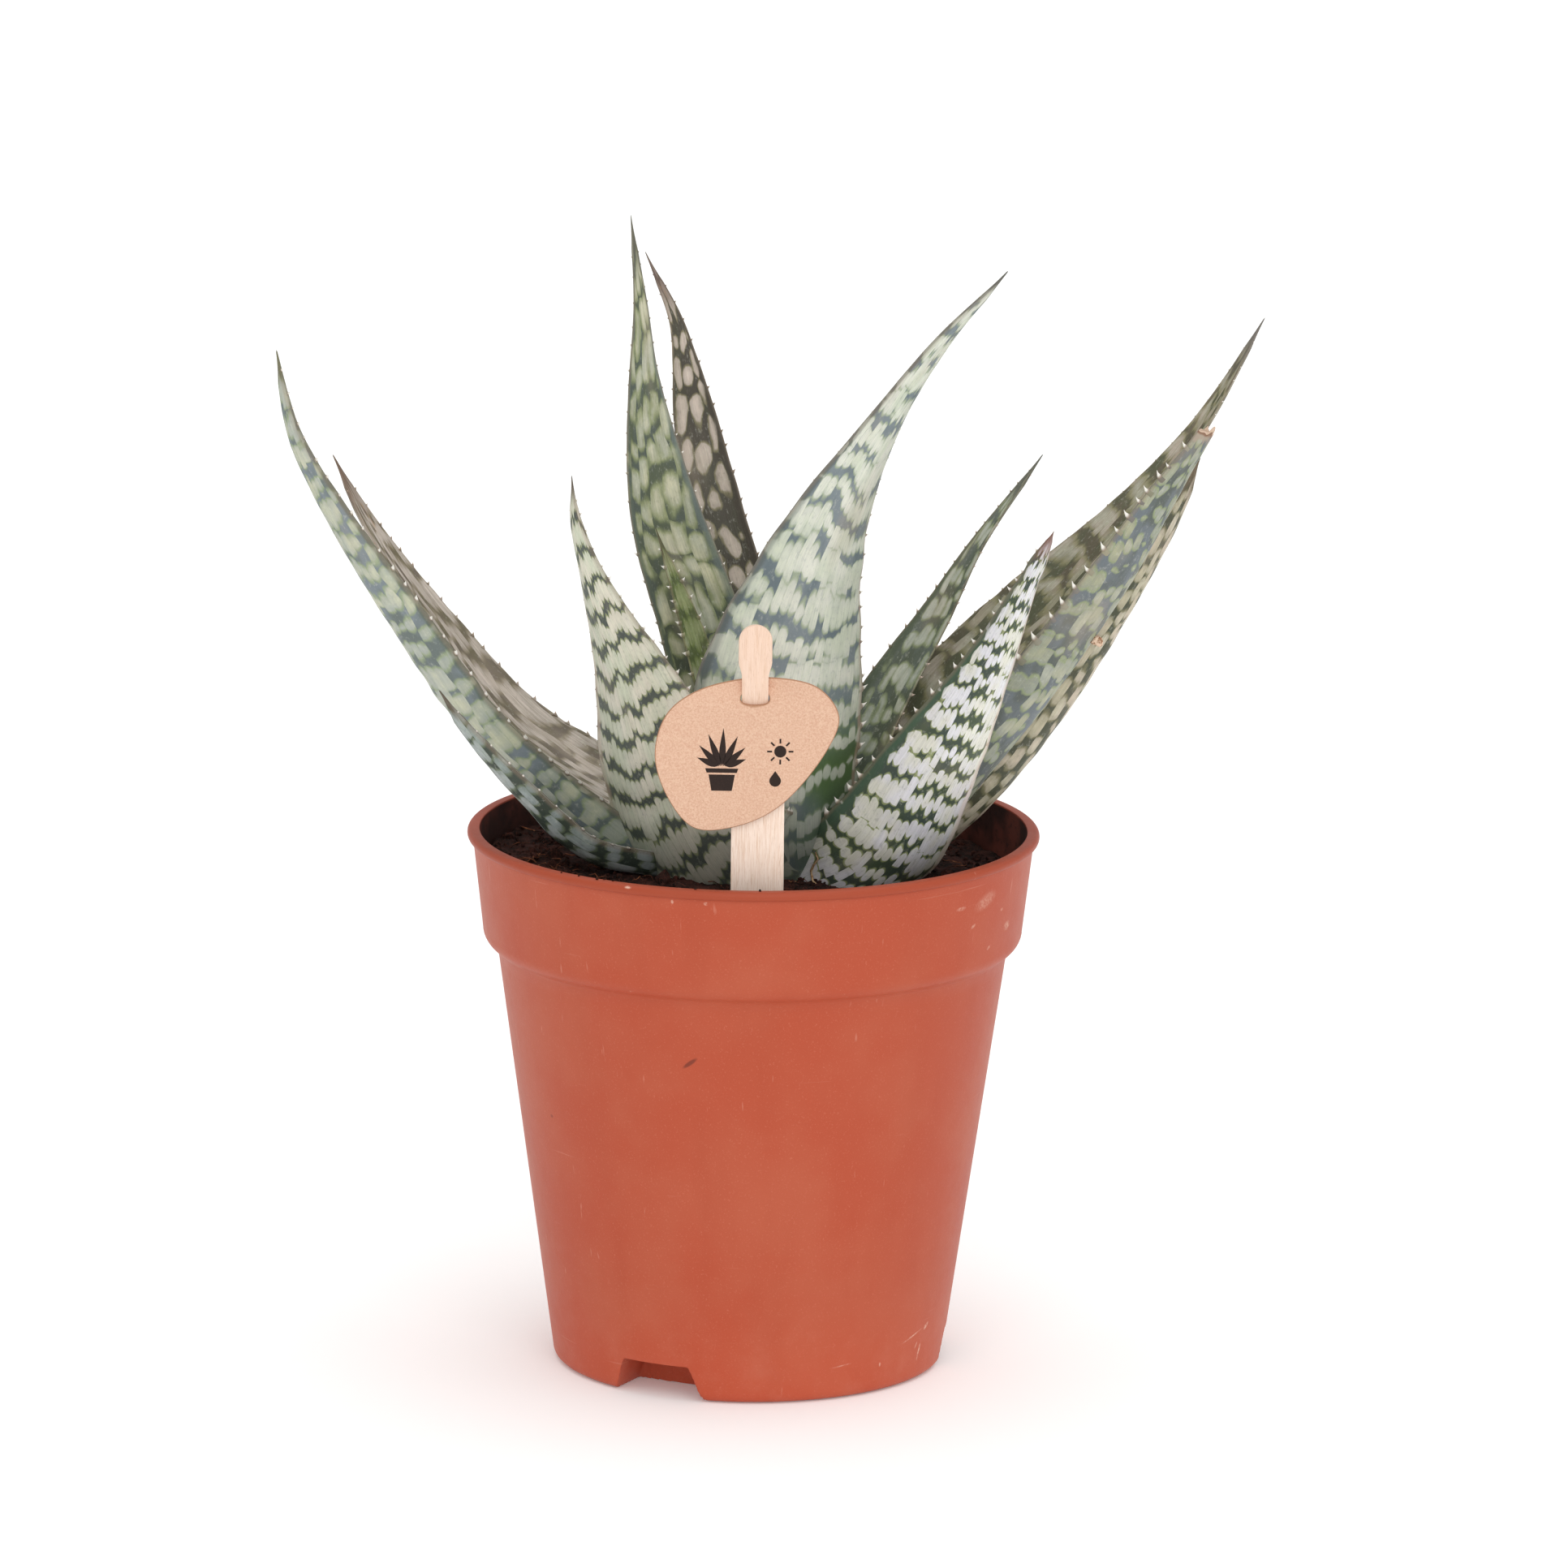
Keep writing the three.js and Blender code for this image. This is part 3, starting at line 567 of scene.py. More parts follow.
def makeFibres():
    draw = random.Random(soil["seed"] + 1)
    points = []
    faces = []
    steps = soil["fibreSteps"]
    heap = soil["heap"]
    for i in range(soil["fibres"]):
        x, y = soilSpot(draw, 10, 54)
        if i % 4 == 0:
            x = heap["fibreX"] + draw.gauss(0, 5)
            y = heap["y"] + draw.gauss(0, 6)
        heading = draw.uniform(0, fullTurn)
        bend = draw.uniform(-0.35, 0.35)
        length = draw.uniform(2.0, 8.0)
        path = []
        for k in range(steps + 1):
            # none comes through the pot's wall
            inwards = min(1, soil["reach"] / max(math.hypot(x, y), 1))
            x *= inwards
            y *= inwards
            lift = 0.25 + 0.9 * math.sin(math.pi * k / steps) * draw.uniform(0.3, 1)
            path.append(Vector((x, y, soilHeight(x, y) + lift)))
            x += length / steps * math.cos(heading)
            y += length / steps * math.sin(heading)
            heading += bend
        addFibre(points, faces, path, draw.uniform(0.07, 0.17))
    f = Finish("redFibre", roughness=0.85, specular=0.25)
    spot = f.spot()
    colour = f.mix(f.steps(f.grain(spot, 0.35), 0.38, 0.62), soil["fibreDark"], soil["fibreRed"])
    colour = f.over(colour, soil["fibrePale"], f.steps(f.grain(spot, 0.9, 1), 0.6, 0.7))
    material = f.set(colour, None, f.grain(spot, 9), 0.05, 0.6)
    pieceFrom("soilFibres", points, faces, material, sharpAbove=180)


def makeStrand():
    points = []
    faces = []
    addFibre(points, faces, [Vector(p) for p in dryStrand["path"]], dryStrand["radius"], 8)
    f = Finish("tanStrand", roughness=0.8, specular=0.25)
    tint = f.grain(f.spot(), 1.2, 3, 0.6)
    f.set(f.mix(f.steps(tint, 0.4, 0.62), dryStrand["pale"], dryStrand["dark"]), None, tint, 0.05, 0.6)
    pieceFrom("dryStrand", points, faces, f.material, sharpAbove=180)


ballParts = ballShape()
makeSoil()
makeCrumbs()
makeFibres()
makeStrand()
print("stage: soil")


# Crown: the short stem that the leaves grow from

crown = {
    "x": 7, "y": 2, "segments": 60, "rings": 30, "low": 84, "high": 114.5,
    "heights": (85, 93, 103, 109, 113), "radii": (6, 9.5, 11, 9.5, 6),
    "green": "#5d6a3c", "pale": "#8c8a5e",
}


def makeCrown():
    segments = crown["segments"]
    points = []
    heights = np.linspace(crown["heights"][0], crown["heights"][-1], crown["rings"])
    for radius, z in zip(np.interp(heights, crown["heights"], crown["radii"]), heights):
        for i in range(segments):
            turn = i / segments * fullTurn
            rough = radius + 0.35 * noise.noise(Vector((3 * math.cos(turn), 3 * math.sin(turn), z * 0.35)))
            points.append((crown["x"] + rough * math.cos(turn), crown["y"] + rough * math.sin(turn), z))
    faces = gridFaces(len(heights), segments)
    foot = len(points)
    closeEnds(faces, 0, foot - segments, segments, foot, foot + 1)
    points += [(crown["x"], crown["y"], crown["low"]), (crown["x"], crown["y"], crown["high"])]
    f = Finish("stemSkin", roughness=0.6)
    rings = f.streaks(f.spot(), (0.1, 0.1, 0.9))
    colour = f.mix(f.steps(rings, 0.35, 0.65), crown["green"], crown["pale"])
    pieceFrom("crownStem", points, faces, f.set(colour, None, rings, 0.4, 0.8), ["stem"])


makeCrown()


# Leaves: the same spines and sections as the solids, finer, with small hooked teeth on their margins

leafShape = {
    "marginThickness": 0.75, "tipHalfWidth": 0.4, "channelBase": 0.42, "channelTip": 0.2,
    "channelLevel": 0.35, "tipThinning": 0.7, "fullestSection": 0.45, "stations": 150, "upperPoints": 27,
    "marginRounding": 0.5, "pointLength": 7, "toothLength": 1.3, "toothWidth": 1.7, "toothFlatness": 0.55,
    "toothHook": 0.45, "toothLift": 0.15, "toothSides": 6, "firstTooth": 10.0, "lastTooth": 4,
    "toothRings": ((-0.55, 1.3), (-0.1, 1.0), (0.18, 0.66), (0.42, 0.42), (0.68, 0.22), (0.88, 0.1)),
    "plainTeeth": (1.0, 0.8, 0.4, 4.0),
}

# What the skins share. Lengths are in millimetres. columnWidth is the width of a row of bars, bandLength from
# one dark gap to the next along it, gap a gap's half width, missing the share of gaps left out, jitter and
# drift how unevenly they line up, wander how far the rows sway sideways, corner how round the bars' ends are,
# sideGap the dark net between rows, uneven how much gaps differ in width, mottle the slow change from pale to
# dark, dim how much darker the bars' edges are, soft how blurred they are, seams and striation how strong the
# lines along them are, baseShade how strong the painted shade is down in the rosette, depth the darkest
# colour of that painted shade, faceShift what sets the upper side's rows apart from the lower side's. left
# and right,
# as seen from the front: share of the half width, colour, cover, more or less pale. greenBase: colour, cover,
# length, more or less pale.
commonLook = {
    "columnWidth": 1.8, "bandLength": 7.5, "gap": 1.2, "missing": 0.2, "jitter": 1.2, "drift": 0.5,
    "wander": 0.8, "corner": 0.7, "sideGap": 0, "uneven": 0.4, "mottle": 0.3, "dim": 0.3, "soft": 0.2,
    "seams": 0.5, "striation": 0.18, "baseShade": 0.6, "faceShift": 40, "margin": "#8a7865",
    "tooth": "#ebe8df", "tip": "#6a5540", "tipStart": 0.86, "blush": "#b9aa97", "chalk": "#e9e7e0",
    "paleGrit": "#e6e6d8", "depth": "#1f2a1d", "rustColour": "#a9834f", "dryEdge": "#8a6a55",
    "dryCut": "#d3b8a2",
}

# Each leaf: the way its channelled face looks at the base and at the tip, thickness, spine as x, y, z, width,
# teeth on the left and right margin as size at the base, at four tenths and at the tip, and their spacing
leaves = {
    "heart": {
        "node": "leaf_heart", "thickness": 3, "faceBase": (0.5, -0.8, 0.4), "faceTip": (0.3, -0.9, 0.2),
        "spine": [(5, 1, 106, 11), (0, 2, 122, 10.5), (-8.5, 2, 141, 7.2), (-14, 3, 158, 4.6),
                  (-21, 4, 177, 0.8)],
        "seed": 3.1, "teethLeft": (0.9, 0.8, 0.5, 4), "teethRight": (0.9, 0.8, 0.5, 4),
        "look": {"pale": ("#abab80", "#96a070"), "dark": ("#4c5632", "#5a663c"), "rim": "#7f8c54",
                 "tip": "#4f4a36", "bandLength": 8, "gap": 2.0, "soft": 0.7, "striation": 0.35},
    },
    "tallCentre": {
        "node": "leaf_tall_centre", "thickness": 6, "faceBase": (-0.05, 1, 0.2),
        "faceTip": (-0.5, 0.8, 0.3),
        "spine": [(6, 0, 104, 25), (5, -8, 118, 32), (5.8, -11, 145, 36), (13.7, -15, 178, 20.5),
                  (25.4, -19, 203, 8.8), (38, -23, 223, 3.5), (51, -26, 238, 0.8)],
        "seed": 11.7, "teethLeft": (0.4, 0.3, 0.2, 8), "teethRight": (2.3, 0.5, 0.3, 4.4),
        "look": {"pale": ("#e2e3d4", "#d2d8c3"), "dark": ("#7f898d", "#68757a"), "rim": "#a5b093",
                 "tip": "#5f5c56", "tipStart": 0.93, "columnWidth": 1.9, "bandLength": 7.8, "gap": 1.55,
                 "missing": 0.36, "jitter": 1.4, "corner": 0.75, "uneven": 0.9, "mottle": 0.5, "dim": 0.2,
                 "soft": 0.4, "baseShade": 0.45, "left": (0.09, "#59615f", 0.8, -1.0),
                 "right": (0.05, "#b99c8c", 0.6, 0.2), "greenBase": ("#4a662c", 0.95, 50, -1.3)},
    },
    "tallLeft": {
        "node": "leaf_tall_left", "thickness": 5.5, "faceBase": (0.35, -0.9, 0.2),
        "faceTip": (0.2, -1, 0.1),
        "spine": [(3, 3, 106, 17), (-3, 6, 121, 20), (-10.2, 9, 150, 19), (-19.8, 12, 180, 15),
                  (-23.8, 16, 205, 7.2), (-24.8, 19, 222, 3), (-27, 22, 240, 0.8)],
        "seed": 23.9, "teethLeft": (0.6, 0.5, 0.2, 5), "teethRight": (0.9, 0.5, 0.2, 4.5),
        "look": {"pale": ("#cfccab", "#b9bba4"), "dark": ("#525a44", "#515a52"), "rim": "#8d9568",
                 "tip": "#5f5c52", "tipStart": 0.84, "columnWidth": 3.2, "bandLength": 9, "gap": 1.8,
                 "jitter": 5.0, "drift": 0.8, "wander": 2.4, "corner": 0.8, "sideGap": 0.25, "mottle": 1.9,
                 "soft": 0.9, "striation": 0.25, "left": (0.15, "#5a6458", 0.7, -1.2),
                 "right": (0.18, "#6c7774", 0.7, -1.2)},
    },
    "tallBack": {
        "node": "leaf_tall_back", "thickness": 5, "faceBase": (0.1, -1, 0.2), "faceTip": (0.3, -0.9, 0.3),
        "spine": [(7, 6, 106, 16), (5, 10, 126, 16), (0, 15, 146, 14.6), (-6, 20, 167, 12.6),
                  (-13.2, 29, 195, 9.6), (-15.4, 32, 207, 5.8), (-17.6, 35, 216, 3), (-24, 40, 229, 0.8)],
        "seed": 31.3, "teethLeft": (0.6, 0.4, 0.2, 6), "teethRight": (0.7, 0.5, 0.25, 5),
        "look": {"pale": ("#d2c3b6", "#bfb2a3"), "dark": ("#453f34", "#484637"), "rim": "#7d7658",
                 "tip": "#6a5850", "tipStart": 0.82, "tooth": "#8f7a66", "columnWidth": 4.8,
                 "bandLength": 8.8, "gap": 1.7, "missing": 0.14, "jitter": 5.0, "drift": 0.9, "wander": 2.8,
                 "corner": 1.9, "sideGap": 0.5, "uneven": 0.6, "mottle": 0.9, "soft": 0.3, "seams": 0.2,
                 "rust": 0.8, "right": (0.26, "#453e34", 0.9, -2.0)},
    },
    "rightSmall": {
        "node": "leaf_right_small", "thickness": 4, "faceBase": (-0.4, -0.8, 0.4),
        "faceTip": (-0.5, -0.8, 0.3),
        "spine": [(9, 3, 106, 13), (19.5, 6, 125, 13.5), (28, 11, 141, 11.6), (38.3, 18, 157, 7.4),
                  (46.4, 24, 170.4, 3.6), (60, 32, 188, 0.8)],
        "seed": 43.3, "teethLeft": (0.8, 0.6, 0.3, 4.5), "teethRight": (0.6, 0.5, 0.25, 5),
        "look": {"pale": ("#bcbeab", "#a8ae9e"), "dark": ("#4c5442", "#565f55"), "rim": "#7f8963",
                 "tip": "#5a5a50", "tipStart": 0.88, "tooth": "#c4b0a2", "blush": "#a08c74",
                 "columnWidth": 2.4, "bandLength": 8.5, "gap": 1.9, "jitter": 3.0, "wander": 2.0,
                 "sideGap": 0.3, "mottle": 1.3, "soft": 0.5, "left": (0.34, "#3f4c2a", 0.6, -1.4)},
    },
    "rightLong": {
        "node": "leaf_right_long", "thickness": 5.5, "faceBase": (-0.55, -0.5, 0.65),
        "faceTip": (-0.5, -0.7, 0.4),
        "spine": [(10, 4, 103, 20), (25, 8, 121, 24), (39, 14, 136, 25), (58, 24, 155, 20),
                  (76.6, 33, 173.6, 10.6), (93, 43, 192.2, 4.6), (107, 52, 214, 0.8)],
        "seed": 51.9, "teethLeft": (0.5, 0.45, 0.25, 6), "teethRight": (0.5, 0.5, 0.3, 6),
        "look": {"pale": ("#a99b89", "#98967e"), "dark": ("#574f3d", "#4c4f36"), "rim": "#8a8560",
                 "tip": "#6f6a66", "tipStart": 0.9, "blush": "#9c8672", "columnWidth": 2.0,
                 "bandLength": 10, "gap": 3.0, "missing": 0.12, "jitter": 5.0, "wander": 2.0, "corner": 0.4,
                 "mottle": 1.6, "soft": 1.0, "striation": 0.3},
    },
    "rightCut": {
        "node": "leaf_right_cut", "thickness": 5.5, "faceBase": (-0.55, 0.35, 0.75),
        "faceTip": (-0.7, 0.65, 0.35),
        "spine": [(12, 0, 103, 20), (32, -4, 116, 20), (44, -7, 130, 20.4), (60, -12, 151.2, 20),
                  (75, -17, 174.2, 16), (84, -19, 190, 10.6), (93, -22, 205, 4.6)],
        "seed": 61.3, "teethLeft": (1.3, 1.35, 0.9, 5.2), "teethRight": (0, 0, 0, 6), "cutEnd": True,
        "toothLift": 0.9,
        "look": {"pale": ("#a9aa8c", "#9ca18f"), "dark": ("#6c7479", "#585f59"), "rim": "#929d76",
                 "tip": "#a89888", "tipStart": 0.975, "columnWidth": 1.9, "bandLength": 7, "gap": 2.1,
                 "jitter": 3.4, "wander": 1.6, "uneven": 1.0, "mottle": 1.3, "soft": 0.4,
                 "right": (0.4, "#b3a99f", 0.5, 0.7)},
    },
    "frontLeft": {
        "node": "leaf_front_left", "thickness": 6, "faceBase": (0.3, 0.9, 0.3), "faceTip": (0.3, 0.9, 0.3),
        "spine": [(3, -3, 104, 30), (-7.6, -12, 109.4, 39), (-17.8, -17, 128.3, 32.3),
                  (-26.1, -23, 153, 16.8), (-33, -29, 172, 6.6), (-37, -33, 186, 2.6), (-38, -36, 196, 0.8)],
        "seed": 71.1, "teethLeft": (0.55, 0.3, 0.2, 5), "teethRight": (0.9, 0.7, 0.3, 4.5),
        "look": {"pale": ("#e0dbc9", "#d0d4bd"), "dark": ("#4b514c", "#565d55"), "rim": "#949b72",
                 "tip": "#5a4c42", "tipStart": 0.89, "columnWidth": 1.7, "bandLength": 7.2, "gap": 1.1,
                 "missing": 0.16, "drift": 0.4, "uneven": 0.5, "mottle": 0.5, "dim": 0.14,
                 "left": (0.12, "#c9ae9c", 0.6, 0.5)},
    },
    "frontRight": {
        "node": "leaf_front_right", "thickness": 6, "faceBase": (0.05, 0.9, 0.45),
        "faceTip": (0, 0.85, 0.45),
        "spine": [(14, -3, 104, 20), (25.5, -12, 111.3, 26.5), (37.4, -20, 132.6, 20.2),
                  (47.8, -28, 154.3, 11), (55.8, -40, 175.1, 4.6), (58.2, -43.8, 181.2, 3.5),
                  (61, -48, 188, 0.8)],
        "seed": 83.7, "teethLeft": (1.1, 0.95, 0.4, 5.0), "teethRight": (0.5, 0, 0, 6), "pointLength": 2.5,
        "look": {"pale": ("#f0eff5", "#ebeadd"), "dark": ("#434f48", "#47553f"), "rim": "#9ba472",
                 "tip": "#80564a", "tipStart": 0.82, "columnWidth": 1.6, "bandLength": 6.4, "gap": 1.0,
                 "missing": 0.28, "jitter": 1.9, "drift": 0.3, "corner": 0.75, "uneven": 0.9,
                 "mottle": 0.45, "dim": 0.05, "soft": 0.13, "baseShade": 0.12,
                 "left": (0.14, "#435c48", 0.85, -2.4), "right": (0.12, "#d3bba8", 0.8, 1.2)},
    },
    "leftBack": {
        "node": "leaf_left_back", "thickness": 5.5, "faceBase": (0.5, -0.3, 0.8),
        "faceTip": (0.6, -0.6, 0.5),
        "spine": [(4, 3, 103, 20), (-15, 9, 112.5, 23), (-33.5, 17, 121, 20.5), (-50.6, 26, 131.6, 15.2),
                  (-66.6, 35, 149.4, 9.6), (-81.2, 43, 168.5, 4.4), (-90, 48, 183, 0.8)],
        "seed": 91.3, "teethLeft": (0.4, 0.4, 0.3, 7), "teethRight": (0.8, 0.8, 0.4, 5),
        "look": {"pale": ("#cabeb3", "#b8ada2"), "dark": ("#6a5f54", "#68604a"), "rim": "#8b8069",
                 "tip": "#6a5242", "tipStart": 0.84, "tooth": "#a8917e", "columnWidth": 1.6,
                 "bandLength": 13, "gap": 2.8, "jitter": 7.0, "wander": 1.6, "corner": 0.4, "mottle": 1.8,
                 "soft": 1.0, "striation": 0.45, "rust": 0.7},
    },
    "leftLong": {
        "node": "leaf_left_long", "thickness": 6, "faceBase": (0.55, 0.3, 0.8), "faceTip": (0.75, 0.6, 0.3),
        "spine": [(1, 1, 102, 18), (-19, -1, 107.6, 18.5), (-38, -5, 121.6, 16.5),
                  (-55.2, -10, 137.6, 15.6), (-72.2, -15, 162, 13.9), (-87, -20, 186, 7.6),
                  (-95.1, -24, 202.8, 3.4), (-99, -28, 220, 0.8)],
        "seed": 101.9, "teethLeft": (0, 0, 0, 6), "teethRight": (0.9, 1.0, 0.5, 5),
        "look": {"pale": ("#c0c2a6", "#acb2a4"), "dark": ("#7b858b", "#66706c"), "rim": "#93a07e",
                 "tip": "#6d6a50", "tipStart": 0.95, "columnWidth": 1.9, "bandLength": 7, "gap": 1.6,
                 "missing": 0.25, "jitter": 3.0, "wander": 1.6, "corner": 0.5, "uneven": 0.9, "mottle": 1.3,
                 "soft": 0.5, "left": (0.22, "#cdb7a5", 0.8, 0.8), "right": (0.08, "#4b5844", 0.6, -0.8)},
    },
    "rightLow": {
        "node": "leaf_right_low", "thickness": 5, "faceBase": (-0.6, 0.3, 0.75),
        "faceTip": (-0.75, 0.5, 0.4),
        "spine": [(11, 3, 101, 18), (30, 4, 109, 19), (45.5, 4, 121, 17), (62, 3, 141, 15),
                  (77, 1, 165, 11.3), (85.8, -1, 181.2, 7.6), (92, -4, 195, 0.8)],
        "seed": 113.3, "teethLeft": (0.8, 0.7, 0.4, 5), "teethRight": (0, 0, 0, 6),
        "look": {"pale": ("#cdc0ab", "#c0b99e"), "dark": ("#4f503e", "#484c39"), "rim": "#807c5c",
                 "tip": "#6a5a48", "columnWidth": 2.0, "bandLength": 8, "gap": 1.5, "jitter": 3.4,
                 "wander": 1.6, "corner": 0.5, "uneven": 0.8, "mottle": 1.5, "soft": 0.35,
                 "right": (0.35, "#cfbca9", 0.6, 0.9)},
    },
    "back": {
        "node": "leaf_back", "thickness": 5, "faceBase": (0, -0.6, 0.8), "faceTip": (0, -0.8, 0.6),
        "spine": [(8, 5, 102, 18), (8, 16, 110, 20), (9, 30, 122, 16), (10, 45, 139, 9.5),
                  (11, 58, 158, 0.8)],
        "seed": 127.7,
        "look": {"pale": ("#c0c5ac", "#b0b9a4"), "dark": ("#505c4a", "#45523f"), "rim": "#869260"},
    },
    "backLeft": {
        "node": "leaf_back_left", "thickness": 5, "faceBase": (0.3, -0.55, 0.8),
        "faceTip": (0.4, -0.7, 0.6),
        "spine": [(4, 5, 102, 17), (-2, 16, 109, 19), (-8, 28, 120, 15), (-13, 40, 135, 9),
                  (-17, 50, 151, 0.8)],
        "seed": 131.1,
        "look": {"pale": ("#c3c4af", "#b0b6a2"), "dark": ("#505a4c", "#4a5442"), "rim": "#869260",
                 "columnWidth": 1.9, "bandLength": 7},
    },
    "backRight": {
        "node": "leaf_back_right", "thickness": 5, "faceBase": (-0.3, -0.55, 0.8),
        "faceTip": (-0.4, -0.7, 0.6),
        "spine": [(11, 5, 102, 17), (17, 16, 108, 18), (24, 29, 118, 14), (30, 40, 130, 8),
                  (34, 48, 143, 0.8)],
        "seed": 139.9,
        "look": {"pale": ("#c5c4a9", "#aeb7a2"), "dark": ("#505a42", "#45523f"), "rim": "#8a9460",
                 "bandLength": 8, "gap": 1.5},
    },
    "leftLow": {
        "node": "leaf_left_low", "thickness": 4.5, "faceBase": (0.5, 0.35, 0.8), "faceTip": (0.6, 0.4, 0.6),
        "spine": [(2, -1, 103, 13), (-16, -8, 109, 13), (-34, -16, 114.2, 11), (-47, -22, 126.8, 8.8),
                  (-58, -26.5, 139.6, 4.8), (-65, -28, 148.8, 0.8)],
        "seed": 149.3, "teethLeft": (0, 0, 0, 6), "teethRight": (0.7, 0.7, 0.4, 5),
        "look": {"pale": ("#a3adad", "#939e98"), "dark": ("#37423a", "#3d463c"), "rim": "#66725a",
                 "tip": "#5a4e40", "columnWidth": 1.6, "bandLength": 8, "gap": 1.9, "jitter": 3.0,
                 "corner": 0.5, "mottle": 1.3, "soft": 0.4, "left": (0.25, "#b3a193", 0.5, 0.2)},
    },
}


def widthAt(widths, fraction):
    # a smooth curve through evenly spaced widths
    last = len(widths) - 1
    at = min(max(fraction, 0), 1) * last
    index = min(int(at), last - 1)
    t = at - index
    a, b, c, d = (widths[min(max(index + k, 0), last)] for k in (-1, 0, 1, 2))
    slopeB = (c - a) / 2
    slopeC = (d - b) / 2
    cube = 2 * b - 2 * c + slopeB + slopeC
    square = 3 * c - 3 * b - 2 * slopeB - slopeC
    return cube * t ** 3 + square * t * t + slopeB * t + b


def spineCurve(knots, fraction):
    last = len(knots) - 1
    at = min(max(fraction, 0), 1) * last
    index = min(int(at), last - 1)
    b = knots[index]
    c = knots[index + 1]
    a = knots[index - 1] if index > 0 else 2 * b - c
    d = knots[index + 2] if index + 2 <= last else 2 * c - b
    return curveStep(a, b, c, d, at - index)


def leafFrames(leaf, fractions):
    # along the spine: the centre, the way ahead, the way its face looks, the way across, and the width
    nearby = 1e-4
    knots = np.array([s[:3] for s in leaf["spine"]], dtype=float)
    widths = [s[3] for s in leaf["spine"]]
    centre = np.array([spineCurve(knots, t) for t in fractions])
    ahead = np.array([spineCurve(knots, min(t + nearby, 1)) for t in fractions])
    behind = np.array([spineCurve(knots, max(t - nearby, 0)) for t in fractions])
    along = ahead - behind
    along /= np.linalg.norm(along, axis=1)[:, None]
    share = np.asarray(fractions)[:, None]
    face = np.array(leaf["faceBase"]) * (1 - share) + np.array(leaf["faceTip"]) * share
    face -= along * np.sum(face * along, axis=1)[:, None]
    face /= np.linalg.norm(face, axis=1)[:, None]
    width = np.array([widthAt(widths, t) for t in fractions])
    return centre, along, face, np.cross(along, face), width


def gentleWaves(values, seed, length):
    # a slow irregular wave, between about -1 and 1
    draw = random.Random(seed)
    total = np.zeros_like(values, dtype=float)
    for k in range(4):
        total += np.sin(values / length * fullTurn * draw.uniform(0.5, 1.6) + draw.uniform(0, 6.3)) / 2
    return total / 1.5


def channelDepth(half, fraction):
    s = leafShape
    return half * (s["channelBase"] + (s["channelTip"] - s["channelBase"]) * fraction)


def addTooth(points, faces, fields, root, outward, flat, along, size, place, part):
    # a small hook on the margin, its foot sunk into the leaf
    s = leafShape
    sides = s["toothSides"]
    wide = np.cross(outward, flat)
    length = s["toothLength"] * size
    radius = s["toothWidth"] * size / 2
    start = len(points)

    def put(point, height):
        points.append(point)
        fields["leafPlace"].append(place)
        fields["leafPart"].append((*part, height))

    for height, girth in s["toothRings"]:
        above = max(height, 0)
        centre = root + outward * height * length + along * above ** 2 * length * s["toothHook"]
        for k in range(sides):
            turn = k / sides * fullTurn
            offset = wide * math.cos(turn) + flat * math.sin(turn) * s["toothFlatness"]
            put(centre + offset * radius * girth, above + 0.05)
    put(root + outward * length + along * length * s["toothHook"], 1.0)
    put(root + outward * s["toothRings"][0][0] * length, 0.05)
    end = start + len(s["toothRings"]) * sides
    faces.extend(gridFaces(len(s["toothRings"]), sides, start))
    closeEnds(faces, start, end - sides, sides, end + 1, end)


def growTeeth(leaf, fractions, lengths, half, leftSign, points, faces, fields):
    s = leafShape
    draw = random.Random(int(leaf["seed"] * 10))
    for side in (-1.0, 1.0):
        key = "teethLeft" if side * leftSign < 0 else "teethRight"
        atBase, atMiddle, atTip, spacing = leaf.get(key, s["plainTeeth"])
        reach = s["firstTooth"]
        while reach < lengths[-1] - s["lastTooth"]:
            t = float(np.interp(reach, lengths, fractions))
            size = float(np.interp(t, (0, 0.4, 1), (atBase, atMiddle, atTip))) * draw.uniform(0.8, 1.2)
            lean = draw.uniform(0.1, 0.5)
            stride = spacing * draw.uniform(0.6, 1.3) * (1.1 - 0.3 * t)
            if size > 0.05:
                centre, along, face, across, width = (values[0] for values in leafFrames(leaf, [t]))
                out = float(np.interp(reach, lengths, half))
                rise = channelDepth(out, t) * (1 - s["channelLevel"]) - s["marginThickness"] / 2
                root = centre + across * side * out + face * rise
                outward = across * side + along * lean + face * leaf.get("toothLift", s["toothLift"])
                outward /= np.linalg.norm(outward)
                addTooth(points, faces, fields, root, outward, face, along, size,
                         [side * out * leftSign, reach, 0.0], (t, side * leftSign))
            reach += stride


